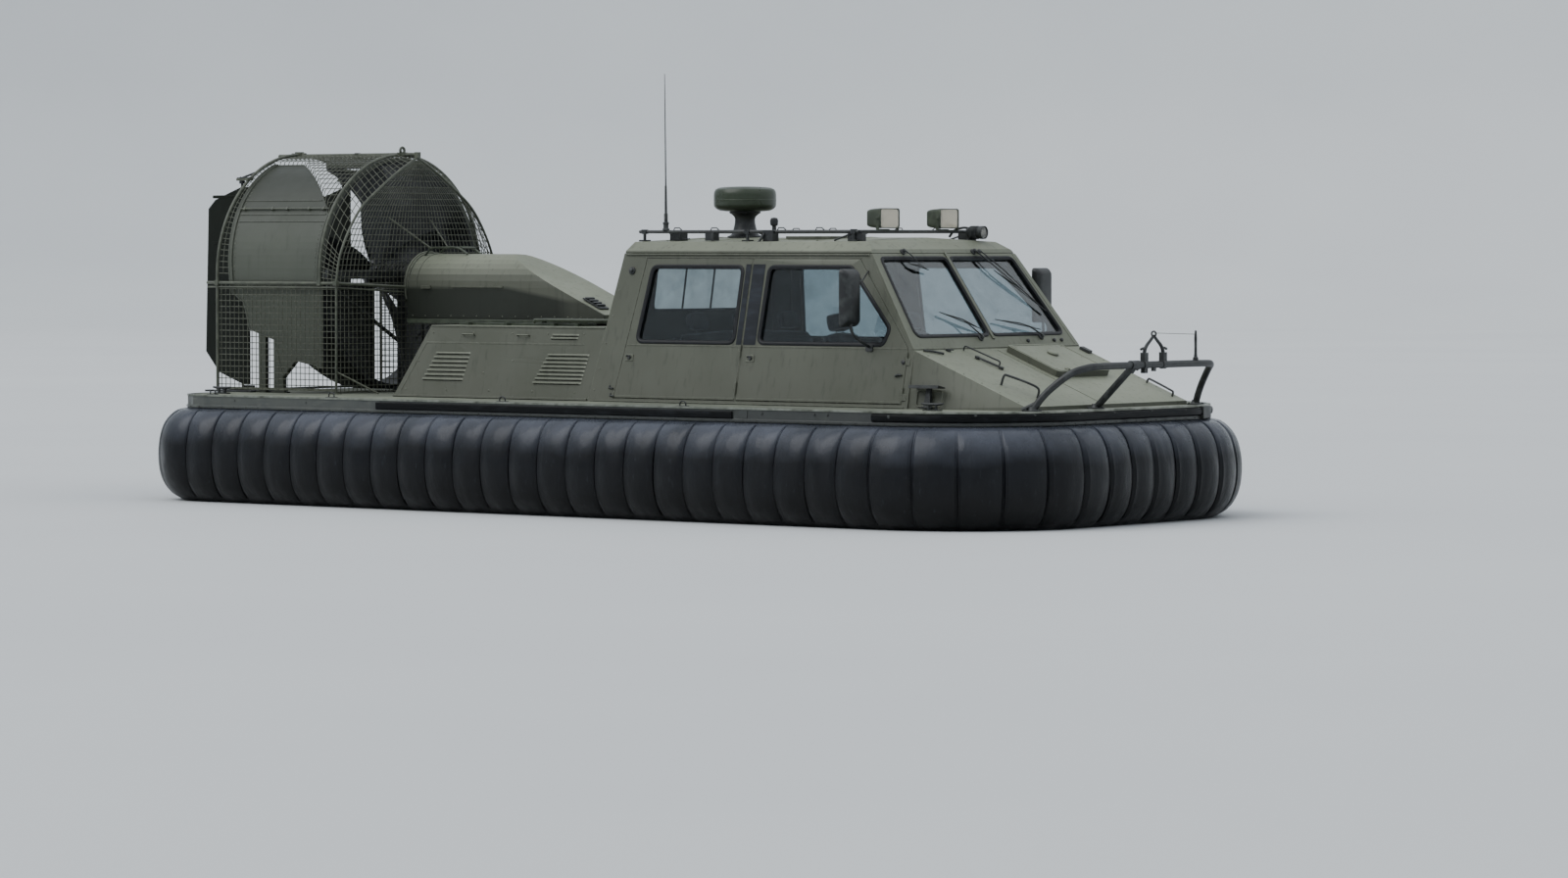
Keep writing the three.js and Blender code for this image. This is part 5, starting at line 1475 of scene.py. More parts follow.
def over_fan(x, y, radius=LIP_RADIUS):
    """A place above (x, y) at that radius from the fan's axis."""
    return Vector((x, y, FAN_Z + math.sqrt(max(0.0, radius ** 2 - y ** 2))))


def on_duct(x, y):
    return over_fan(x, y, DUCT_RADIUS + 0.001)


def duct_turn(y):
    """Turn round the fan's axis to that distance from the centre line, on the duct."""
    return math.asin(y / DUCT_RADIUS)


def duct_edge(turn, radius):
    """A place on the duct's leaning rear edge."""
    spot = arch_point(turn, radius, 0)
    spot.x = duct_rear(spot.z)
    return spot


def stepped(start, end, steps):
    """Flat points from start to end, both kept."""
    return list(zip(spaced(start[0], end[0], steps), spaced(start[1], end[1], steps)))


def wire(kit, *route):
    kit.tube(route, WIRE_RADIUS, 4)


def make_cage_frame():
    """Bent and welded tube hoops and bars, with feet on the deck and the rudders' upper bearings."""
    kit = Kit()
    half = [Vector((CAGE_FRONT_X, y, z)) for y, z in FRONT_HOOP[:-1]]
    port = curve_through(half, 4)
    port.append(Vector((CAGE_FRONT_X, CAGE_HALF, DECK + GAP)))
    starboard = [Vector((p.x, -p.y, p.z)) for p in reversed(port[1:])]
    kit.tube(starboard + port, 0.013, 10)
    kit.tube(arch(LIP_RADIUS, LIP_X, BAR_Z), 0.016, 12)
    kit.tube(arch(ARCH_RADIUS, ARCH_X, 1.070), 0.016, 12)
    kit.rod((-5.290, 0, TOP_BAR_Z), (CAGE_FRONT_X, 0, TOP_BAR_Z), 0.020, 16)
    for side in SIDES:
        corner = (CAGE_FRONT_X, side * CAGE_HALF, BAR_Z)
        kit.rod((-5.140, side * ARCH_RADIUS, BAR_Z), corner, 0.016, 12)
        kit.rod(corner, (-3.240, side * 0.352, 2.110), 0.016, 12)
        pin_y = side * abs(RUDDER_PIN.y)
        kit.block((-5.145, pin_y - 0.040, 3.182), (-4.980, pin_y + 0.040, 3.207))
        kit.plate(pad(-3.385, side * 1.20, 0.045, 0.04, 0.012), DECK + GAP, DECK + 0.010)
        # Clamps where the middle bar meets the hoops
        for x, y in ((ARCH_X, ARCH_RADIUS), (LIP_X, LIP_RADIUS), (CAGE_FRONT_X, CAGE_HALF)):
            kit.block((-0.024, -0.022, -0.024), (0.024, 0.022, 0.024), (x, side * y, BAR_Z))
    make("cage_hoops_and_bars", kit, CAGE_PAINT, edge=0.001, replaces=["prop_cage"])


def make_face_mesh():
    """The mesh in front of the propeller: it fans out from the crown, and leaves the shaft free."""
    kit = Kit()
    x = CAGE_FRONT_X
    shaft_gap = 0.080
    foot = DECK + 0.02
    lines = round(CAGE_HALF / WIRE_PITCH)
    rows = [BAR_Z + i * WIRE_PITCH for i in range(-18, 21)]
    upper = [z for z in rows if z >= BAR_Z] + [FRONT_HOOP[0][1] - 0.03]
    for i in range(1 - lines, lines):
        share = i / lines
        y = share * hoop_half(BAR_Z)
        column = [(x, share * hoop_half(z), z) for z in upper]
        # Every other line ends at half height of the crown, where they crowd together
        if i % 2:
            column = column[:-5]
        if abs(y) < shaft_gap:
            reach = math.sqrt(shaft_gap ** 2 - y ** 2)
            wire(kit, (x, y, foot), (x, y, FAN_Z - reach))
            wire(kit, (x, y, FAN_Z + reach), *[spot for spot in column if spot[2] > FAN_Z + reach])
        else:
            wire(kit, (x, y, foot), *column)
    for z in rows:
        half = hoop_half(z)
        if abs(z - FAN_Z) < shaft_gap:
            reach = math.sqrt(shaft_gap ** 2 - (z - FAN_Z) ** 2)
            wire(kit, (x, -half, z), (x, -reach, z))
            wire(kit, (x, reach, z), (x, half, z))
        elif z < FRONT_HOOP[0][1]:
            wire(kit, (x, -half, z), (x, half, z))
    collar = [round_point(math.radians(15 * i), shaft_gap, x) for i in range(24)]
    kit.tube(collar, 0.005, 6, closed=True)
    make("cage_face_mesh", kit, WIRE)


def make_top_mesh():
    """Mesh over the openings in the duct's crown, forward to the front hoop and back to the arch."""
    kit = Kit()
    for i in range(-19, 20):
        y = i * WIRE_PITCH
        side = -1 if y < 0 else 1
        lip = over_fan(LIP_X, y)
        if abs(y) < CROWN_HALF:
            wire(kit, over_fan(ARCH_X, y), lip)
        elif abs(y) < crown_edge(LIP_X, side):
            start = crown_edge_x(y, side)
            wire(kit, on_duct(start, y), over_fan(start + 0.03, y), lip)
        wire(kit, lip, (CAGE_FRONT_X, y, hoop_height(y)))
    for i in range(1, 23):
        x = LIP_X - i * WIRE_PITCH
        starboard = -crown_edge(x, -1)
        port = crown_edge(x, 1)
        row = [over_fan(x, y) for y in spaced(starboard + 0.02, port - 0.02, 14)]
        wire(kit, on_duct(x, starboard), *row, on_duct(x, port))
    # Fill between the hoops beside the fan, below the last line of the crown
    fill_half = 1.14
    for side in SIDES:
        heights = zip(spaced(BAR_Z, over_fan(LIP_X, fill_half).z, 8),
                      spaced(BAR_Z, hoop_height(fill_half), 8))
        for z, front_z in list(heights)[1:-1]:
            lip_y = LIP_RADIUS if z < FAN_Z else math.sqrt(LIP_RADIUS ** 2 - (z - FAN_Z) ** 2)
            wire(kit, (LIP_X, side * lip_y, z), (CAGE_FRONT_X, side * hoop_half(front_z), front_z))
    for share in (0.25, 0.5, 0.75):
        x = blend(LIP_X, CAGE_FRONT_X, share)
        route = []
        for turn in spaced(-QUARTER, QUARTER, 52):
            y = LIP_RADIUS * math.sin(turn)
            front = Vector((CAGE_FRONT_X, y, max(BAR_Z, hoop_height(y))))
            if abs(y) > fill_half:
                front.y = math.copysign(hoop_half(front.z), y)
            route.append(over_fan(LIP_X, y).lerp(front, share))
        wire(kit, *route)
        for side in SIDES:
            wire(kit, (x, side * CAGE_HALF, BAR_Z), (x, side * CAGE_HALF, FAN_Z))
    # Band between the duct's rear edge and the arch behind it
    rear_radius = DUCT_RADIUS + 0.014
    first = math.asin(CROWN_HALF / rear_radius)

    def band(turn):
        return duct_edge(turn, rear_radius), round_point(turn, ARCH_RADIUS, ARCH_X)

    for side in SIDES:
        for i in range(int((QUARTER - first) * ARCH_RADIUS / WIRE_PITCH) + 1):
            wire(kit, *band(side * (first + i * WIRE_PITCH / ARCH_RADIUS)))
        ends = [band(side * turn) for turn in spaced(first, QUARTER, 20)]
        wire(kit, *[edge.lerp(far, 0.5) for edge, far in ends])
    make("duct_top_mesh", kit, WIRE)


def make_side_mesh():
    """Flat mesh panels from the middle bars down to the deck."""
    kit = Kit()
    foot = DECK + 0.04
    bar_y = 1.208
    for side in SIDES:
        for i in range(1, 27):
            x = CAGE_FRONT_X - i * WIRE_PITCH
            y = side * blend(ARCH_RADIUS, CAGE_HALF, (x - ARCH_X) / (CAGE_FRONT_X - ARCH_X))
            wire(kit, (x, y, foot), (x, y, BAR_Z))
        for i in range(1, 18):
            z = BAR_Z - i * WIRE_PITCH
            wire(kit, (ARCH_X, side * ARCH_RADIUS, z), (CAGE_FRONT_X, side * CAGE_HALF, z))
        # Flat bar that holds the panel's foot
        kit.block((ARCH_X, side * bar_y - 0.004, foot - 0.012),
                  (CAGE_FRONT_X, side * bar_y + 0.004, foot + 0.012))
    make("cage_side_mesh", kit, WIRE)


def make_duct_details():
    """Ribs, rolled edges and rivets of the duct."""
    rib = ((-0.012, -0.003), (-0.006, 0.007), (0.006, 0.007), (0.012, -0.003))
    kit = Kit()
    for side in SIDES:
        for z in (2.973, 2.835, 2.766):
            turn = math.acos((z - FAN_Z) / DUCT_RADIUS)
            cut = crown_edge_x(math.sin(turn) * DUCT_RADIUS, side)
            ends = (duct_rear(z) + 0.05, min(LIP_X - 0.07, cut - 0.03))
            kit.skin([[round_point(side * (turn + step / DUCT_RADIUS), DUCT_RADIUS + rise, x)
                       for step, rise in rib] for x in ends])
        # Rolled rear edge and lip, ended where the crown is open
        first = duct_turn(CROWN_HALF)
        last = QUARTER + (FAN_Z - CHEEK_EDGE[0][1]) / DUCT_RADIUS
        kit.tube([duct_edge(side * turn, 1.176) for turn in spaced(first, last, 30)], 0.010)
        foot = QUARTER + (FAN_Z - CHEEK_EDGE[-1][1]) / DUCT_RADIUS
        for x in (LIP_X - 0.007, -3.664):
            lip = duct_turn(crown_edge(x, side))
            kit.tube([arch_point(side * turn, 1.172, x) for turn in spaced(lip, foot, 24)], 0.010)
        kit.tube([(x, side * DUCT_RADIUS, z + 0.006) for x, z in CHEEK_EDGE], 0.009)
        # Edge strips along the cuts in the crown
        shoulder = (CROWN_SHOULDER[side], CROWN_HALF)
        cut = stepped((duct_rear(3.4) + 0.01, CROWN_HALF), shoulder, 6)
        cut += stepped(shoulder, (-3.665, crown_edge(-3.665, side)), 12)[1:]
        kit.tube([on_duct(x, side * y) for x, y in cut], 0.007)
        for start, end in zip(WEDGE, WEDGE[1:]):
            kit.tube([on_duct(x, side * y) for x, y in stepped(start, end, 6)], 0.006)
        # Rivet rows beside the rear and front edges
        rows = [(turn, duct_edge(side * turn, DUCT_RADIUS) + Vector((0.062, 0, 0)))
                for turn in spaced(first + 0.06, last - 0.03, 33)]
        rows += [(turn, arch_point(side * turn, DUCT_RADIUS, -3.710)) for turn in spaced(1.14, 2.32, 29)]
        for turn, place in rows:
            level = (0, side, 0)
            out = (0, side * math.sin(turn), math.cos(turn)) if turn < QUARTER else level
            kit.bolt(place, out, 0.006, 0.003)
        # Base plates of the posts
        for x0, x1 in ((-4.500, -4.360), (-4.290, -4.110)):
            kit.block((x0, side * 1.142 - 0.045, DECK + GAP), (x1, side * 1.142 + 0.045, DECK + 0.012))
            for x in (x0 + 0.015, x1 - 0.015):
                kit.bolt((x, side * 1.175, DECK + 0.0125), (0, 0, 1), 0.007, 0.006)
    # Rolled edge of the tunnel under the fan
    route = [round_point(math.pi + turn, 1.142, 0) for turn in spaced(-QUARTER, QUARTER, 52)]
    kit.tube([(along_table(TUNNEL_EDGE, spot.z), spot.y, spot.z) for spot in route], 0.024)
    make("duct_ribs_and_rivets", kit, DUCT)


def panel_rear(y):
    """The panel's rear edge, slanting aft towards the side."""
    return -4.346 - y / 3


def make_crown_panel():
    """The port side's removable wall panel: it closes the crown's opening ahead of its slanting
    edge."""
    kit = Kit()
    rings = []
    for i in range(19):
        row = []
        for k in range(17):
            x = blend(panel_rear(blend(0.352, 0.600, k / 16)), -3.612, i / 18)
            row.append((x, blend(0.352, crown_edge(x, 1) + 0.004, k / 16)))
        outer = [on_duct(x, y) for x, y in row]
        inner = [over_fan(x, y, DUCT_RADIUS - 0.044) for x, y in reversed(row)]
        rings.append(outer + inner)
    kit.skin(rings)
    # Edge strip and its bolts
    slant = [(panel_rear(y), y) for y in spaced(0.36, 0.58, 6)]
    kit.tube([on_duct(x, y) for x, y in slant], 0.007)
    for x, y in slant[1:-1:2]:
        kit.bolt(on_duct(x + 0.03, y), (0, y, math.sqrt(DUCT_RADIUS ** 2 - y ** 2)), 0.006, 0.003)
    make("duct_crown_panel_port", kit, DUCT)


def make_duct_stays():
    """Control cables, second bars, the lifting eye and the clamps on the top bar."""
    kit = Kit()
    for side in SIDES:
        turn = side * math.acos((2.885 - FAN_Z) / DUCT_RADIUS)
        kit.tube([round_point(turn, DUCT_RADIUS + 0.018, x) for x in (-4.90, -4.4, -4.0, -3.68)], 0.009)
        for x in (-4.84, -4.45, -4.25, -3.95, -3.75):
            clip = Matrix.Translation(round_point(turn, DUCT_RADIUS + 0.012, x))
            kit.block((-0.012, -0.016, -0.014), (0.012, 0.016, 0.016),
                      clip @ Matrix.Rotation(-turn, 4, "X"))
        # Thin bar under the middle bar and on to the cowl
        kit.tube([(-5.130, side * 1.217, 2.108), (CAGE_FRONT_X, side * 1.203, 2.108),
                  (-3.250, side * 0.360, 2.060)], 0.009)
    # Lifting eye and its foot
    eye = Matrix.Translation((LIP_X + 0.02, 0, 3.482)) @ Matrix.Rotation(math.radians(90), 4, "Y")
    kit.tube([eye @ Vector((a, b, 0)) for a, b in circle(0.030, 20)], 0.014, closed=True)
    kit.block((LIP_X - 0.03, -0.028, 3.425), (LIP_X + 0.07, 0.028, 3.464))
    # Clamps on the top bar, and the bracket at the rear arch
    for x in (-4.2, CAGE_FRONT_X + 0.006):
        kit.block((x - 0.02, -0.026, 3.405), (x + 0.02, 0.026, 3.464))
    kit.block((ARCH_X - 0.045, -0.030, 3.418), (ARCH_X + 0.030, 0.030, 3.482))
    kit.rod((ARCH_X - 0.110, 0, 3.456), (ARCH_X + 0.080, 0, 3.456), 0.016, 10)
    # Small strut inside the far shoulder of the front hoop
    kit.rod((CAGE_FRONT_X, 0.56, 3.090), (LIP_X, 0.80, 3.125), 0.008)
    make("duct_stays_and_clips", kit, CAGE_PAINT, edge=0.001)

    kit = Kit()
    # Pale rods from the front hoop down to the cowl, and forward to the deck
    kit.rod((CAGE_FRONT_X, -0.42, 2.80), (-3.10, -0.10, 2.49), 0.009)
    kit.rod((CAGE_FRONT_X, 0.20, 2.78), (-3.05, 0.10, 2.49), 0.007)
    for side in SIDES:
        kit.rod((CAGE_FRONT_X, side * 1.190, 1.270), (-3.000, side * 1.000, DECK + 0.010), 0.009)
    make("cage_stay_rods", kit, WIRE)


def make_shaft_details():
    """Bolted flanges, ribs and hoses on the gearbox and shaft."""
    kit = Kit()
    shaft = upright(0, FAN_Z)
    for x, radius in ((-3.80, 0.128), (-3.62, 0.128), (-3.44, 0.128), (-3.30, 0.075)):
        kit.turned([(radius - 0.03, x - 0.012), (radius, x - 0.010), (radius, x + 0.010),
                    (radius - 0.03, x + 0.012)], shaft)
    for x, out in ((-3.79, -1), (-3.45, 1)):
        for i in range(10):
            kit.bolt(round_point(math.radians(36 * i), 0.105, x + out * 0.022), (out, 0, 0), 0.007)
    for x in spaced(-3.775, -3.505, 6):
        kit.turned([(0.121, x), (0.134, x + 0.005), (0.134, x + 0.011), (0.121, x + 0.016)], shaft, 24)
    for side in SIDES:
        kit.bent([(-3.70, side * 0.11, 2.15), (-3.66, side * 0.20, 2.02), (-3.52, side * 0.22, 1.80),
                  (-3.45, side * 0.16, 1.40), (-3.42, side * 0.15, DECK + 0.02)], 6, 0.017, 10)
        kit.rod((-3.54, side * 1.13, FAN_Z - 0.10), (-3.54, side * 0.09, 1.55), 0.020, 10)
        kit.block((-3.60, side * 0.10 - 0.04, DECK + GAP), (-3.46, side * 0.10 + 0.04, DECK + 0.05))
    make("gearbox_flanges_and_hoses", kit, BLACK, edge=0.001)


def make_radiators():
    """Finned cooler cores in the fan's intake, one each side of the gearbox, carried by the
    tunnel's wall."""
    kit = Kit()
    face = upright(-3.705, 0)
    reach = 1.118
    top = 2.120
    outline = [(1.020, top), (0.300, top)]
    for turn in spaced(math.asin(0.300 / reach), math.asin(1.020 / reach), 12):
        outline.append((reach * math.sin(turn), FAN_Z - reach * math.cos(turn)))
    kit.plate(outline, -0.062, -0.008, face)
    kit.tube([face @ Vector((a, b, -0.006)) for a, b in outline], 0.014, closed=True)
    for i in range(37):
        z = 1.190 + i * 0.025
        end = min(1.010, math.sqrt(reach ** 2 - (z - FAN_Z) ** 2) - 0.012)
        if end > 0.34:
            kit.block((0.310, z - 0.003, -0.009), (end, z + 0.003, 0.002), face)
    for y in (0.48, 0.66, 0.84):
        foot = FAN_Z - math.sqrt(reach ** 2 - y ** 2)
        kit.block((y - 0.008, foot, -0.009), (y + 0.008, top, 0.004), face)
    make("intake_radiators", kit.mirrored(), BLACK)


# Propeller and rudders

BLADE_STATIONS = [
    # share of the radius, chord, thickness, twist in degrees, sweep
    (0.085, 0.120, 0.060, 54, 0.000),
    (0.16, 0.165, 0.052, 49, 0.004),
    (0.26, 0.235, 0.040, 43, 0.006),
    (0.40, 0.295, 0.030, 36, 0.004),
    (0.58, 0.315, 0.023, 30, 0.000),
    (0.76, 0.300, 0.018, 25, -0.006),
    (0.90, 0.262, 0.013, 22, -0.014),
    (0.97, 0.215, 0.010, 21, -0.022),
    (0.998, 0.120, 0.006, 20, -0.034),
]
FOIL = [
    (-0.5, 0.0), (-0.46, -0.22), (-0.36, -0.40), (-0.2, -0.5), (0.0, -0.48), (0.22, -0.34),
    (0.40, -0.14), (0.5, 0.0), (0.40, 0.16), (0.22, 0.32), (0.0, 0.44), (-0.2, 0.46),
    (-0.36, 0.36), (-0.46, 0.2)]


def make_propeller():
    """Five twisted blades on a bossed hub with a bolted spinner."""
    kit = Kit()
    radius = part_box("propeller")[1].z - FAN_Z
    rings = []
    for share, chord, thick, twist, sweep in BLADE_STATIONS:
        lean = Matrix.Rotation(math.radians(twist), 2)
        section = [Vector((t * thick, c * chord + sweep)) @ lean for c, t in FOIL]
        rings.append([(across, chordwise, share * radius) for across, chordwise in section])
    for number in range(5):
        turn = Matrix.Translation(HUB) @ Matrix.Rotation(math.radians(72 * number), 4, "X")
        kit.skin(rings, place=turn)
        kit.turned([(0.085, 0.06), (0.085, 0.115), (0.070, 0.135), (0.055, 0.150)], turn, 24)
    kit.turned([(0.0, -0.190), (0.022, -0.186), (0.048, -0.170), (0.074, -0.140), (0.098, -0.100),
                (0.110, -0.060), (0.112, 0.060), (0.104, 0.088), (0.080, 0.097), (0.0, 0.098)],
               basis(HUB, (0, 1, 0), (0, 0, 1)), 40)
    for i in range(8):
        kit.bolt(round_point(math.radians(45 * i), 0.066, HUB.x + 0.0985), (1, 0, 0), 0.008, 0.007)
    make("propeller_blades", kit, BLADE, body="propeller_body", replaces=["propeller"])


def make_rudder_details():
    rib_line = [(-5.03, 0.013), (-5.10, 0.025), (-5.24, 0.025), (-5.50, 0.0105)]
    rib = ((-0.016, -0.003), (-0.010, 0.006), (0.010, 0.006), (0.016, -0.003))
    for side, name in ((-1, "starboard"), (1, "port")):
        kit = Kit()
        y = side * abs(RUDDER_PIN.y)
        for z in (1.35, 1.95, 2.55, 3.02):
            for face in SIDES:
                kit.skin([[(x, y + face * (out + lift), z + high) for high, lift in rib]
                          for x, out in rib_line])
                for x in (-5.14, -5.22):
                    kit.bolt((x, y + face * 0.031, z), (0, face, 0), 0.007, 0.004)
        # Control horn above the lower pin
        kit.block((-5.12, y - side * 0.02 - 0.012, 1.084), (-4.96, y - side * 0.02 + 0.012, 1.104))
        make(f"rudder_ribs_{name}", kit, RUDDER_GREEN, body=f"rudder_{name}_body")
    kit = Kit()
    # Bearing straps round the pins, and the brackets that carry them
    for side in SIDES:
        y = side * abs(RUDDER_PIN.y)
        pin = (RUDDER_PIN.x, y, 0)
        kit.turned([(0.014, 3.150), (0.030, 3.152), (0.030, 3.180), (0.014, 3.182)], pin, 24)
        kit.turned([(0.014, 1.071), (0.034, 1.072), (0.034, 1.082), (0.014, 1.083)], pin, 24)
        kit.block((-5.14, y - 0.035, 3.2072), (-4.985, y + 0.035, 3.215))
        for x in (-5.12, -5.06):
            kit.bolt((x, y, 3.2155), (0, 0, 1), 0.008)
        kit.rod((-5.100, y, 3.210), (ARCH_X, side * 0.62, 3.275), 0.011)
    make("rudder_bearings", kit, BLACK, edge=0.001)


# Roof gear

RACK_Z = 2.655
RACK_FRONT = 2.900


def roof_height(y):
    """The roof panel falls away from its middle by 4 percent."""
    return ROOF_TOP - abs(y) * 0.04


def make_roof_details():
    kit = Kit()
    # Cross beads pressed in the roof panel, and two raised panels
    for x in (0.55, 1.10, 1.75, 2.35):
        bead = ((-0.022, -0.004), (-0.010, 0.007), (0.010, 0.007), (0.022, -0.004))
        kit.skin([[(x + step, y, roof_height(y) + rise) for step, rise in bead]
                  for y in spaced(-0.82, 0.82, 20)])
    for x0, y0 in ((1.72, -0.52), (1.05, 0.36)):
        kit.plate(oblong(x0, y0, x0 + 0.55, y0 + 0.5, 0.06), ROOF_TOP - 0.03, ROOF_TOP + 0.012)
    make("roof_panel_beads", kit, OLIVE, edge=0.002)

    kit = Kit()
    # Rack clamps, lashing lugs and the brackets under its front corners
    for side in SIDES:
        for x in (0.34, 1.59, 2.84):
            kit.block((-0.045, -0.035, 0.0006), (0.045, 0.035, 0.014), (x, side * 0.900, roof_height(0.9)))
            kit.block((-0.026, -0.021, -0.021), (0.026, 0.021, 0.021), (x, side * 0.900, RACK_Z))
        for x in (0.75, 1.20, 2.00, 2.45):
            lug = ((-0.05, 0.905, 0.012), (-0.03, 0.915, 0.035), (0.03, 0.915, 0.035), (0.05, 0.905, 0.012))
            kit.tube([(x + step, side * y, RACK_Z + rise) for step, y, rise in lug], 0.006, 6)
        kit.rod((2.84, side * 0.90, RACK_Z - 0.01), (2.60, side * 0.88, ROOF_TOP - 0.028), 0.009)
        kit.block((2.76, side * 0.86 - 0.03, ROOF_TOP - 0.036),
                  (2.93, side * 0.86 + 0.03, RACK_Z - 0.012))
    # Junction boxes, their bracket's strut and the aerial's cable
    kit.block((0.60, -0.84, ROOF_TOP - 0.030), (0.72, -0.72, RACK_Z - 0.014))
    kit.block((1.10, -0.93, ROOF_TOP - 0.030), (1.20, -0.84, RACK_Z - 0.010))
    kit.block((1.80, -0.94, ROOF_TOP - 0.045), (1.92, -0.85, RACK_Z + 0.010))
    kit.rod((1.82, -0.94, RACK_Z - 0.02), (1.76, -1.04, ROOF_TOP - 0.130), 0.013)
    kit.bent([(0.60, -0.87, RACK_Z - 0.005), (0.70, -0.80, ROOF_TOP - 0.015),
              (0.78, -0.76, ROOF_TOP - 0.012)], 5, 0.007)
    # Small mushroom aerial beside the radar
    kit.turned([(0.0, -0.010), (0.040, -0.010), (0.040, 0.004), (0.022, 0.010), (0.020, 0.110),
                (0.036, 0.118), (0.040, 0.160), (0.030, 0.186), (0.0, 0.192)],
               (1.196, 0, ROOF_TOP), 20)
    make("rack_clamps_and_brackets", kit, BLACK, edge=0.001)


def make_radar():
    """Moulded radome with a parting bead, on its waisted pedestal."""
    low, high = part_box("radar_dome")
    x = (low.x + high.x) / 2
    radius = (high.x - low.x) / 2
    tall = high.z - low.z
    kit = Kit()
    profile = [
        (0.0, 0.0), (0.60, 0.004), (0.80, 0.03), (0.92, 0.10), (0.985, 0.19), (1.0, 0.28), (1.0, 0.42),
        (1.006, 0.43), (1.006, 0.46), (1.0, 0.47), (1.0, 0.66), (0.985, 0.78), (0.94, 0.88),
        (0.84, 0.945), (0.66, 0.975), (0.42, 0.99), (0.2, 0.998), (0.0, 1.0)]
    kit.turned([(r * radius, h * tall) for r, h in profile], (x, 0, low.z), 64)
    make("radome", kit, RADOME, replaces=["radar_dome"])
    base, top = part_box("radar_mast")
    tall = top.z - base.z
    kit = Kit()
    kit.turned([
        (0.0, 0.0), (0.170, 0.0), (0.170, 0.012), (0.152, 0.018), (0.132, 0.030), (0.118, 0.055),
        (0.106, 0.100), (0.098, 0.140), (0.096, 0.175), (0.104, 0.200), (0.128, 0.222), (0.152, 0.236),
        (0.150, tall), (0.0, tall)], (x, 0, base.z), 48)
    for i in range(6):
        turn = math.radians(60 * i + 20)
        kit.bolt((x + 0.152 * math.cos(turn), 0.152 * math.sin(turn), base.z + 0.0135), (0, 0, 1), 0.008)
    make("radar_pedestal", kit, BLACK, replaces=["radar_mast"])


def make_aerial():
    """Whip on a wound spring, with a plastic base."""
    low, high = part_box("whip_aerial")
    base = (0.600, -0.900, low.z)
    kit = Kit()
    kit.turned([(0.0, 0.0), (0.034, 0.0), (0.034, 0.012), (0.024, 0.020), (0.024, 0.050),
                (0.030, 0.056), (0.030, 0.070), (0.018, 0.080), (0.0, 0.082)], base, 20)
    turns = 7
    spring = [(0.017 * math.cos(t * 0.5236), 0.017 * math.sin(t * 0.5236), 0.082 + t * 0.0009)
              for t in range(turns * 12 + 1)]
    kit.tube(spring, 0.004, 6, place=base)
    kit.rod((0, 0, 0.070), (0, 0, 0.170), 0.012, 12, base)
    kit.tube([(0, 0, 0.165), (-0.002, 0, 0.420)], [0.013, 0.010], 12, place=base)
    tip = high.z - 0.002 - low.z
    kit.tube([(-0.002, 0, 0.415), (-0.006, 0, 0.8), (-0.011, 0, 1.2), (-0.015, 0, tip)],
             [0.007, 0.006, 0.0045, 0.003], place=base)
    make("aerial_whip", kit, BLACK, replaces=["whip_aerial"])


def make_work_lamps():
    """Deep square lamps with a bezel, ribbed glass and a dished reflector, each on a fork."""
    for name in ("starboard", "port"):
        low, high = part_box(f"work_lamp_{name}")
        y = (low.y + high.y) / 2
        x0, x1 = low.x, high.x
        z0 = high.z - 0.186
        middle = (z0 + high.z) / 2
        place = basis((0, y, middle), (0, 1, 0), (0, 0, 1))

        def ring(share, x, radius=0.03):
            return at_depth(pad(0, 0, 0.150 * share, 0.093 * share, radius), x)

        kit = Kit()
        kit.skin([ring(0.62, x0, 0.02), ring(0.80, x0 + 0.012, 0.028), ring(0.90, x0 + 0.05),
                  ring(0.955, x0 + 0.10), ring(0.985, x1 - 0.035), ring(1.0, x1 - 0.030), ring(1.0, x1),
                  ring(0.93, x1 + 0.002), ring(0.90, x1 - 0.012)], capped=False, place=place)
        kit.skin([ring(0.62, x0, 0.02), ring(0.60, x0 + 0.004, 0.02)], place=place)
        # Fork, knuckle and cable
        pivot = z0 - 0.016
        for edge in SIDES:
            kit.block((-0.016, -0.003, pivot), (0.016, 0.003, middle + 0.02),
                      (RACK_FRONT, y + edge * 0.152, 0))
            kit.bolt((RACK_FRONT, y + edge * 0.156, middle), (0, edge, 0), 0.012, 0.010)
        kit.block((-0.018, -0.155, pivot - 0.005), (0.018, 0.155, pivot + 0.002), (RACK_FRONT, y, 0))
        kit.turned([(0.0, 2.6705), (0.026, 2.6705), (0.026, pivot - 0.004), (0.0, pivot - 0.004)],
                   (RACK_FRONT, y, 0), 20)
        kit.bent([(x0 + 0.01, y + 0.03, middle - 0.04), (x0, y + 0.05, z0 - 0.005),
                  (RACK_FRONT - 0.03, y + 0.07, 2.672)], 5, 0.006)
        make(f"work_lamp_body_{name}", kit, GREEN_STEEL, edge=0.0015,
             replaces=[f"work_lamp_{name}"])
        kit = Kit()
        kit.skin([ring(0.90, x1 - 0.011), ring(0.80, x1 - 0.035), ring(0.52, x1 - 0.075),
                  ring(0.25, x1 - 0.092, 0.012)], place=place)
        make(f"work_lamp_reflector_{name}", kit, PLATING)
        kit = Kit()
        kit.skin([ring(0.905, x1 - 0.008), ring(0.905, x1 - 0.004), ring(0.6, x1 + 0.001),
                  ring(0.2, x1 + 0.002, 0.01)], place=place)
        make(f"work_lamp_glass_{name}", kit, LAMP_GLASS)


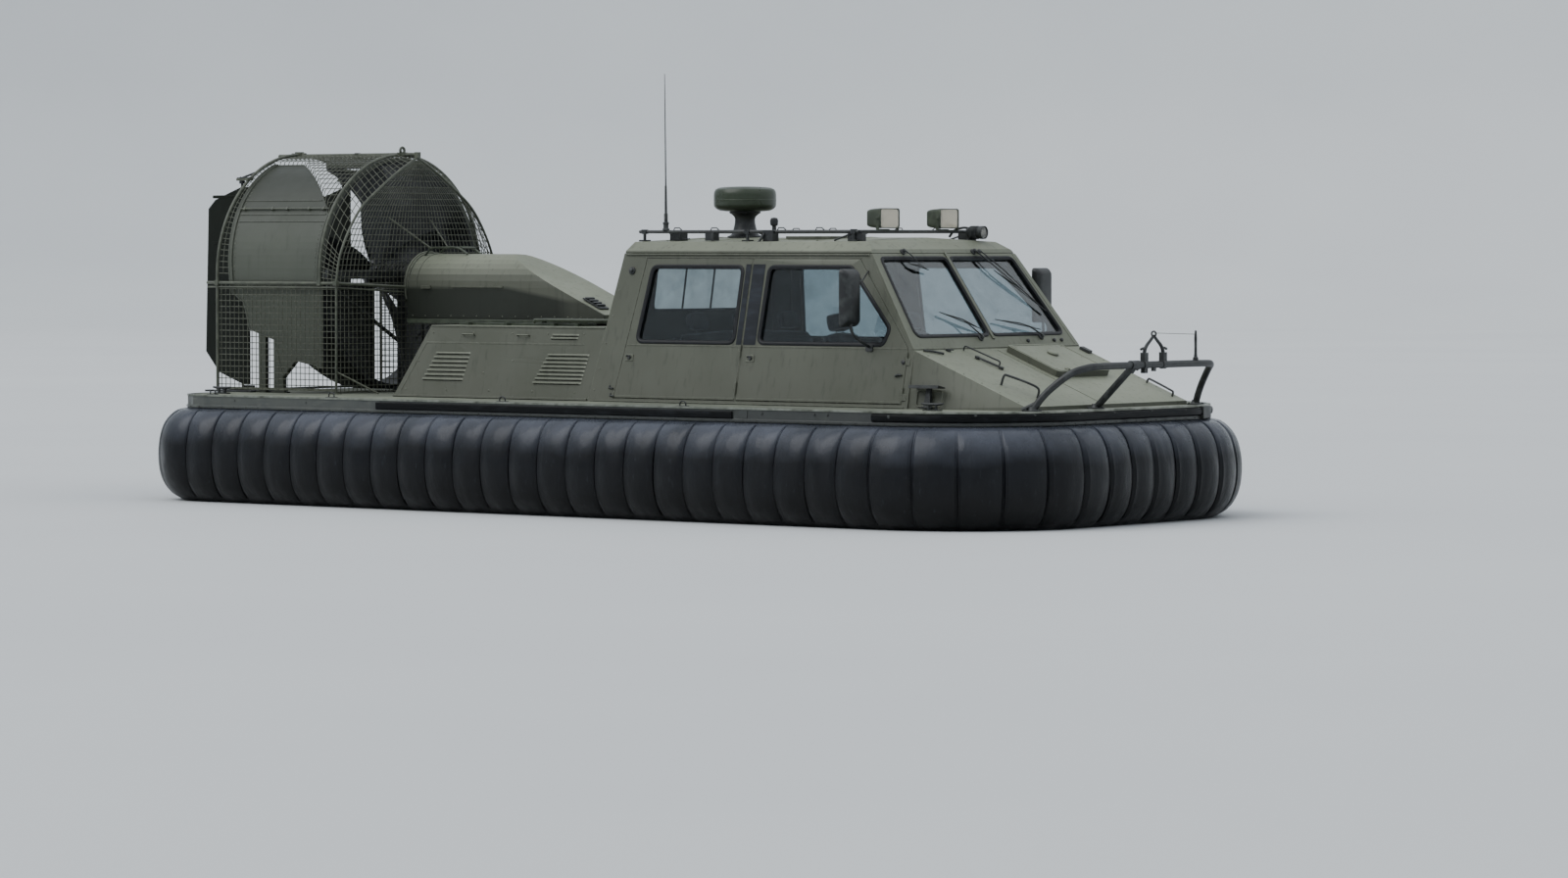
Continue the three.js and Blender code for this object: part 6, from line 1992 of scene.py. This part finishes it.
def make_searchlight():
    """Round finned lamp on a fork, with a guard loop behind it."""
    low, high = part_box("searchlight")
    x, y = 2.985, 0.740
    axis_z = high.z - 0.062
    barrel = basis((x, y, axis_z), (0, 1, 0), (0, 0, 1))
    kit = Kit()
    kit.turned([(0.0, -0.040), (0.030, -0.039), (0.050, -0.030), (0.058, -0.012), (0.060, 0.02),
                (0.056, 0.10), (0.062, 0.112), (0.062, 0.150), (0.056, 0.152), (0.052, 0.140),
                (0.0, 0.138)], barrel, 36)
    for fin in spaced(0, 0.070, 5):
        kit.turned([(0.058, fin), (0.0635, fin + 0.003), (0.0635, fin + 0.006), (0.058, fin + 0.009)],
                   barrel, 28)
    foot = low.z
    kit.turned([(0.0, 0), (0.046, 0), (0.046, 0.010), (0.028, 0.018), (0.028, 0.030), (0.0, 0.030)],
               (x, y, foot), 24)
    for side in SIDES:
        kit.bent([(x, y, foot + 0.024), (x + 0.02, y + side * 0.055, foot + 0.028),
                  (x + 0.04, y + side * 0.070, axis_z - 0.02), (x + 0.04, y + side * 0.068, axis_z)],
                 4, 0.008)
        kit.bolt((x + 0.04, y + side * 0.070, axis_z), (0, side, 0), 0.012, 0.010)
    kit.bent([(x - 0.03, y, axis_z + 0.04), (x - 0.10, y, axis_z + 0.045),
              (x - 0.20, y, axis_z + 0.02), (x - 0.26, y, axis_z - 0.04)], 5, 0.012, 10)
    make("searchlight_body", kit, BLACK, replaces=["searchlight"])
    kit = Kit()
    kit.turned([(0.0, 0.1385), (0.050, 0.1395), (0.052, 0.1415), (0.030, 0.146), (0.0, 0.147)], barrel)
    make("searchlight_glass", kit, LAMP_GLASS)


# Bow guard rail

def make_bow_rail():
    """A stout bent tube on three feet, with the fairlead and the staff on top of it."""
    foot = DECK + GAP
    tube = 0.032
    front = 5.562
    kit = Kit()
    half = curve_through([
        (5.150, -1.300, foot + 0.004), (5.205, -1.262, 1.155), (5.290, -1.200, 1.262),
        (5.420, -1.100, 1.385), (5.520, -0.990, 1.436), (5.560, -0.840, 1.448), (front, -0.400, 1.450),
        (front, 0.0, 1.450)], 7)
    kit.tube(half + [Vector((p.x, -p.y, p.z)) for p in reversed(half[:-1])], tube, 20)
    kit.rod((5.140, -0.310, foot + 0.004), (5.556, -0.310, 1.447), tube, 20)
    # Clamp where the leg meets the top tube
    kit.rod((front, -0.375, 1.450), (front, -0.245, 1.450), 0.042, 20)
    kit.rod((5.515, -0.310, 1.400), (5.545, -0.310, 1.434), 0.041, 16)
    for y in (-0.36, -0.26):
        kit.bolt((front, y, 1.408), (0.3, 0, -1), 0.009, 0.007)
    for x, y in ((5.150, -1.300), (5.150, 1.300), (5.140, -0.310)):
        kit.plate(pad(x, y, 0.062, 0.062, 0.02), foot, foot + 0.012)
        kit.turned([(0.046, 0.012), (0.040, 0.022), (0.034, 0.045)], (x, y, foot), 24)
        for a, b in oblong(-0.044, -0.044, 0.044, 0.044):
            kit.bolt((x + a, y + b, foot + 0.0125), (0, 0, 1), 0.008)
    # Gusset behind the starboard foot
    kit.rod((5.06, -1.34, foot + 0.01), (5.19, -1.275, 1.13), 0.020, 12)
    # Fairlead: two cheek plates and bent legs that meet in an eye
    for side in SIDES:
        cheek = side * 0.150
        leg = curve_through([
            (front, cheek, 1.476), (front, cheek, 1.560), (front, side * 0.118, 1.618),
            (front, side * 0.055, 1.668), (front, 0.0, 1.712)], 5)
        kit.tube(leg, spaced(0.019, 0.013, 20), 12)
        kit.block((5.535, cheek - 0.026, 1.470), (5.589, cheek + 0.026, 1.560))
        kit.rod((front, cheek - 0.030, 1.45), (front, cheek + 0.030, 1.45), 0.040, 20)
        kit.rod((front, side * 0.165, 1.600), (front, side * 0.205, 1.590), 0.012, 10)
    kit.tube([(front + a, 0, 1.727 + b) for a, b in circle(0.024, 18)], 0.008, closed=True)
    # Hanging bracket and shackle under the tube
    kit.block((5.540, -0.175, 1.375), (5.584, -0.125, 1.425))
    kit.block((5.548, -0.02, 1.390), (5.576, 0.02, 1.425))
    # Staff
    kit.turned([(0.0, 1.47), (0.026, 1.47), (0.026, 1.500), (0.016, 1.510), (0.016, 1.530),
                (0.0, 1.530)], (front, 0.680, 0), 20)
    kit.tube([(front, 0.680, 1.50), (5.560, 0.684, 1.60), (front, 0.680, 1.68), (5.564, 0.678, 1.750)],
             [0.015, 0.013, 0.014, 0.009], 12)
    make("bow_guard_rail", kit, BLACK, replaces=["bow_rail"])
    kit = Kit()
    kit.tube([(front, 0.0, 1.735), (front, 0.34, 1.725), (front, 0.680, 1.715)], 0.003, 6)
    make("fairlead_stay_wire", kit, WIRE)


# Mirrors on the front doors

MIRROR_CENTRE = (3.225, -1.505, 2.050)


def make_mirrors():
    """A deep head on a bent arm, with a thin upper stay."""
    face = basis(MIRROR_CENTRE, (0, 1, 0), (0, 0, 1))

    def rings(*sizes):
        return [at_depth(pad(0, 0, half_w, half_h, radius), x) for half_w, half_h, x, radius in sizes]

    kit = Kit()
    kit.skin(rings((0.116, 0.252, 0.004, 0.03), (0.122, 0.261, 0.000, 0.035),
                   (0.1225, 0.2615, 0.018, 0.035), (0.117, 0.252, 0.045, 0.04),
                   (0.102, 0.230, 0.072, 0.04), (0.080, 0.200, 0.084, 0.035)), place=face)
    kit.bent([on_side(3.330, 1.600, 0.012), (3.318, -1.385, 1.640), (3.290, -1.475, 1.700),
              (3.272, -1.503, 1.760), (3.266, -1.505, 1.830)], 5, 0.014, 12)
    kit.side_plate(oblong(3.290, 1.560, 3.370, 1.618, 0.012), 0.016)
    kit.rod((3.268, -1.505, 1.800), (3.268, -1.505, 1.835), 0.022, 16)
    kit.tube([on_side(3.20, 2.29, 0.004), (3.24, -1.30, 2.20), (3.262, -1.45, 2.16)], 0.007)
    for x in (3.305, 3.356):
        for z in (1.575, 1.603):
            kit.side_bolt(x, z, 0.005, 0.003, 0.0165)
    pane = Kit()
    pane.skin(rings((0.110, 0.246, 0.0025, 0.028), (0.110, 0.246, 0.0045, 0.028)), place=face)
    for name, head, glass in (("starboard", kit, pane), ("port", kit.to_port(), pane.to_port())):
        body = f"front_door_{name}_body"
        make(f"mirror_head_{name}", head, BLACK, body=body, replaces=[f"mirror_{name}"])
        make(f"mirror_pane_{name}", glass, MIRROR, body=body)


# Cabin inside

FLOOR_Z = 0.850


def cushion(kit, low, high, crown, place):
    """A closed, crowned pad: its faces swell and its edges pull in between the corners."""
    cells = 12
    half = (Vector(high) - Vector(low)) / 2
    centre = (Vector(high) + Vector(low)) / 2

    def swell(spot, axis):
        squares = [each ** 2 for each in spot]
        soft = [each * math.sqrt(1 - (sum(squares) - square) / 7) * size
                for each, square, size in zip(spot, squares, half)]
        bulge = crown
        for other in range(3):
            if other != axis:
                bulge *= 1 - squares[other]
        soft[axis] += spot[axis] * bulge
        return centre + Vector(soft)

    steps = spaced(-1, 1, cells)
    for axis in range(3):
        for sign in SIDES:
            points = []
            for u in steps:
                for v in steps:
                    spot = [u, v]
                    spot.insert(axis, sign)
                    points.append(swell(spot, axis))
            faces = []
            for i in range(cells):
                for j in range(cells):
                    at = i * (cells + 1) + j
                    faces.append((at, at + 1, at + cells + 2, at + cells + 1))
            kit.add(points, faces, place)


def piping(kit, low, high, place):
    """Sewn cord round a pad's upper edge."""
    inset = 0.018
    outline = oblong(low[0] + inset, low[1] + inset, high[0] - inset, high[1] - inset, 0.04)
    kit.tube(at_depth(outline, high[2] - 0.016), 0.006, closed=True, place=place)


def make_seat(name, node, x, y, width, heads):
    """A padded seat in its shell: base cushion, back cushion and headrests."""
    half = width / 2
    base = (x, y, FLOOR_Z)
    lean = Matrix.Translation((x + 0.045, y, FLOOR_Z + 0.41)) @ Matrix.Rotation(math.radians(-13), 4, "Y")
    low = (-0.055, -half + 0.01, 0.27)
    high = (0.415, half - 0.01, 0.415)
    kit = Kit()
    cushion(kit, low, high, 0.014, base)
    piping(kit, low, high, base)
    seat = make(f"{name}_base_cushion", kit, CLOTH, replaces=[node])
    kit = Kit()
    cushion(kit, (-0.135, -half + 0.015, 0.0), (-0.020, half - 0.015, 0.47), 0.012, lean)
    back = make(f"{name}_back_cushion", kit, CLOTH)
    offsets = [(i - (heads - 1) / 2) * (width / heads) for i in range(heads)]
    for i, offset in enumerate(offsets):
        kit = Kit()
        cushion(kit, (-0.120, offset - 0.13, 0.50), (-0.035, offset + 0.13, 0.655), 0.008, lean)
        head = make(f"{name}_headrest_{i + 1}", kit, CLOTH)
    kit = Kit()
    cheek = [(-0.05, GAP), (0.36, GAP), (0.38, 0.26), (-0.055, 0.27), (-0.085, 0.20)]
    for edge in SIDES:
        wall_y = y + edge * (half - 0.02)
        kit.plate(cheek, -0.006, 0.006, basis((x, wall_y, FLOOR_Z), (1, 0, 0), (0, 0, 1)))
        kit.block((-0.03, -0.018, -0.02), (0.03, 0.018, 0.05), (x - 0.02, wall_y, FLOOR_Z + 0.30))
    for offset in offsets:
        for step in (-0.05, 0.05):
            kit.rod((-0.080, offset + step, 0.44), (-0.080, offset + step, 0.53), 0.006, 8, lean)
    kit.block((-0.145, -half + 0.03, 0.02), (-0.130, half - 0.03, 0.44), lean)
    make(f"{name}_frame", kit, BLACK, edge=0.002)


def make_dashboard():
    """Moulded dashboard top with an instrument hood, blank displays, gauges and switches."""
    kit = Kit()
    face = basis((3.450, 0, 1.445), (0, 1, 0), (-0.085, 0, 0.99))
    kit.block((-0.82, -0.02, -0.01), (-0.30, 0.19, 0.012), Matrix.Translation((-0.012, 0, 0)) @ face)
    for y in (-0.70, 0.25, 0.72):
        kit.block((y - 0.14, 0.00, 0.0), (y + 0.14, 0.16, 0.030), face)
    for y in spaced(-0.20, 0.16, 8):
        kit.block((y, -0.045, 0.0), (y + 0.03, -0.015, 0.026), face)
    kit.tube([(3.55, y, 1.640) for y in (-0.86, -0.56, -0.26)], 0.030, 12, flat=0.5)
    make("dashboard_panels", kit, PLASTIC, edge=0.004)
    kit = Kit()
    for y in (-0.70, 0.25, 0.72):
        kit.block((y - 0.125, 0.012, 0.0302), (y + 0.125, 0.148, 0.034), face)
    for y in (-0.50, -0.38):
        kit.turned([(0.0, 0.012), (0.048, 0.012), (0.048, 0.020), (0.0, 0.024)],
                   face @ Matrix.Translation((y, 0.09, 0)), 28)
    make("dashboard_displays", kit, DISPLAY, edge=0.002)


def make_helm():
    """Padded wheel rim on three spokes, with the throttle lever beside it."""
    kit = Kit()
    tilt = Matrix.Translation((3.260, -0.560, 1.560)) @ Matrix.Rotation(QUARTER + 0.5, 4, "Y")
    kit.tube(at_depth(circle(0.165, 48), 0), 0.014, 12, closed=True, place=tilt)
    hub = Vector((3.275, -0.560, 1.552))
    for turn in (0, 2.094, 4.189):
        tip = tilt @ Vector((0.158 * math.cos(turn), 0.158 * math.sin(turn), 0))
        kit.tube([hub, (hub + tip) / 2, tip], [0.016, 0.010, 0.010], 10, flat=0.6)
    kit.rod(hub, (3.388, -0.560, 1.490), 0.030, 20)
    kit.turned([(0.0, -0.012), (0.042, -0.010), (0.046, 0.004), (0.030, 0.018)], tilt, 24)
    make("helm_wheel_rim", kit, PLASTIC, replaces=["helm_wheel"])
    kit = Kit()
    kit.block((3.30, -0.96, 1.30), (3.42, -0.88, 1.40))
    kit.rod((3.35, -0.92, 1.395), (3.31, -0.92, 1.500), 0.008)
    kit.turned([(0.0, -0.02), (0.022, -0.012), (0.024, 0.0), (0.016, 0.018), (0.0, 0.022)],
               (3.305, -0.92, 1.512), 16)
    make("throttle_lever", kit, BLACK, edge=0.002)


def make_rear_window():
    """Rear window on the aft bulkhead: a rubber frame and etched panes, outside and inside, the inner ones
    with a painted glow.
    """
    wall = basis((REAR_WALL_X, 0, DECK), (0, -1, 0), (REAR_WALL_SLOPE, 0, 1))
    pane = oblong(-0.640, 0.885, 0.640, 1.285, 0.05)
    seals = Kit()
    panes = Kit()
    for look, depth, out in ((0, GAP, 1), (1, -0.0448, -1)):
        panes.look = look
        panes.plate(pane, *sorted((depth, depth + out * 0.004)), wall)
        seals.bead(pane, 0.026, out * 0.010, wall @ Matrix.Translation((0, 0, depth)))
        low, high = sorted((depth, depth + out * 0.009))
        for bar in (-0.215, 0.215):
            seals.block((bar - 0.012, 0.887, low), (bar + 0.012, 1.283, high), wall)
    make("rear_window_panes", panes, [FROSTED, PAINTED_GLOW_GLASS])
    make("rear_window_rubber", seals, GASKET)


def make_linings():
    """Roof lining with its battens, and the ribbed floor mat."""
    kit = Kit()
    kit.block((0.40, -1.02, 2.470), (3.02, 1.02, 2.478))
    for x in (0.9, 1.5, 2.1, 2.7):
        kit.block((x - 0.012, -1.0, 2.462), (x + 0.012, 1.0, 2.471))
    make("roof_lining", kit, LINING, edge=0.003)
    kit = Kit()
    kit.block((0.20, -1.22, FLOOR_Z + GAP), (3.70, 1.22, FLOOR_Z + 0.008))
    for y in spaced(-1.15, 1.15, 23):
        kit.block((0.22, y - 0.012, FLOOR_Z + 0.008), (3.68, y + 0.012, FLOOR_Z + 0.012))
    make("floor_mat", kit, FENDER)


# Underside and landing skids

def make_skid_details():
    kit = Kit()
    for side in SIDES:
        y = side * 0.900
        for x in spaced(-3.2, 3.2, 8):
            kit.block((x - 0.05, y - 0.066, 0.03), (x + 0.05, y + 0.066, 0.36))
        kit.block((-3.30, y - 0.064, 0.004), (3.30, y + 0.064, 0.030))
    make("skid_straps", kit, GREEN_STEEL, edge=0.003)
    kit = Kit()
    # Hull bottom stringers over the air cushion; the duct paint draws them near black, as painted shade
    for y in (-0.45, 0, 0.45):
        kit.block((-4.0, y - 0.03, 0.395), (4.3, y + 0.03, 0.4195))
    for x in spaced(-3.6, 3.6, 6):
        kit.block((x - 0.025, -1.5, 0.405), (x + 0.025, 1.5, 0.4195))
    make("hull_stringers", kit, DUCT, edge=0.002)


# Construction nodes that keep their shape

def dress_frame():
    finishes = {
        "hull": (GRIT, 0.003), "rub_rail": (RAIL_METAL, 0.004), "skid_starboard": (GREEN_STEEL, 0.006),
        "skid_port": (GREEN_STEEL, 0.006), "cabin_shell": (OLIVE, 0.004), "roof": (OLIVE, 0.010),
        "nose_shell": (OLIVE, 0.006), "nose_hatch": (OLIVE, 0.010), "engine_housing": (OLIVE, 0.004),
        "engine_block": (IRON, 0.012), "cowl_base": (GREEN_STEEL, 0.004),
        "engine_cowl": (COWL_PAINT, 0.005), "duct": (DUCT, 0.003), "prop_gearbox": (BLACK, 0.004),
        "stern_frame": (BLACK, 0.003), "rudder_starboard": (RUDDER_GREEN, 0.003),
        "rudder_port": (RUDDER_GREEN, 0.003), "roof_rack": (BLACK, 0.0), "dashboard": (PLASTIC, 0.012),
        "windscreen_starboard": (GLASS, 0.0), "windscreen_port": (GLASS, 0.0),
    }
    for door in DOORS:
        for side in ("starboard", "port"):
            finishes[f"{door}_door_{side}"] = (OLIVE, 0.004)
            finishes[f"{door}_glass_{side}"] = (GLASS, 0.0)
    for node, (look, edge) in finishes.items():
        dress(node, look, edge)


# Studio: pale floor that sweeps up far away, soft light, camera at the photograph's angle

def make_studio():
    kit = Kit()
    kit.turned([(0.001, 0.0), (110.0, 0.0), (120.0, 2.0), (128.0, 8.0), (132.0, 18.0), (134.0, 60.0)],
               (0, 0, 0), 96)
    mesh = bpy.data.meshes.new("studio_floor")
    # The sweep is open: its two end caps are left out
    mesh.from_pydata(kit.points, [], kit.faces[:-2])
    mesh.materials.append(studio_floor())
    mesh.shade_smooth()
    floor = bpy.data.objects.new("studio_floor", mesh)
    bpy.context.scene.collection.objects.link(floor)

    world = bpy.data.worlds.new("soft studio")
    bpy.context.scene.world = world
    world.use_nodes = True
    background = world.node_tree.nodes["Background"]
    background.inputs["Color"].default_value = linear("#dfe6ee")
    background.inputs["Strength"].default_value = 1.0

    for name, place, strength, spread in (("key", (-14, -26, 34), 1.6, 50), ("fill", (20, 10, 30), 0.5, 90)):
        light = bpy.data.lights.new(name, "SUN")
        light.energy = strength
        light.angle = math.radians(spread)
        lamp = bpy.data.objects.new(name, light)
        lamp.rotation_mode = "QUATERNION"
        lamp.rotation_quaternion = Vector(place).to_track_quat("Z", "Y")
        lamp.location = place
        bpy.context.scene.collection.objects.link(lamp)


EYE = Vector((32.2, -39.3, 2.53))
VIEW_CENTRE = Vector((1.315, 0, 0.68))


def make_camera():
    camera = bpy.data.cameras.new("camera")
    camera.lens = 120.4
    camera.sensor_width = 36
    camera.clip_end = 500
    holder = bpy.data.objects.new("camera", camera)
    holder.rotation_mode = "QUATERNION"
    holder.location = EYE
    holder.rotation_quaternion = (VIEW_CENTRE - EYE).to_track_quat("-Z", "Y")
    bpy.context.scene.collection.objects.link(holder)
    bpy.context.scene.camera = holder


# Building it all

make_camera()
make_studio()
dress_frame()
make_skirt()
make_seam_tapes()
make_rail_strips()
make_rail_bolts()
make_rail_joints()
make_deck_fittings()
both_doors("window_rubber", window_seal, GASKET)
both_doors("post_film", door_blackout, POST_FILM)
both_doors("door_handle_plate", door_plate, OLIVE, 0.001)
both_doors("door_handle", door_knob, BLACK, 0.0008)
both_doors("door_strips", door_trims, OLIVE, 0.001)
both_doors("door_lining", door_lining, LINING, 0.003)
make_cabin_trims()
make_screen_trims()
make_wipers()
make_nose_fittings()
make_side_step()
make_hatch_details()
make_louvres()
make_housing_trims()
make_cowl_details()
make_face_mesh()
make_top_mesh()
make_side_mesh()
make_cage_frame()
make_duct_details()
make_crown_panel()
make_duct_stays()
make_shaft_details()
make_radiators()
make_propeller()
make_rudder_details()
make_roof_details()
make_radar()
make_aerial()
make_work_lamps()
make_searchlight()
make_bow_rail()
make_mirrors()
make_seat("helm_seat", "helm_seat", 2.560, -0.560, 0.520, 1)
make_seat("mate_seat", "mate_seat", 2.560, 0.560, 0.520, 1)
make_seat("bench", "rear_bench", 0.980, 0.0, 2.100, 3)
make_dashboard()
make_helm()
make_rear_window()
make_linings()
make_skid_details()
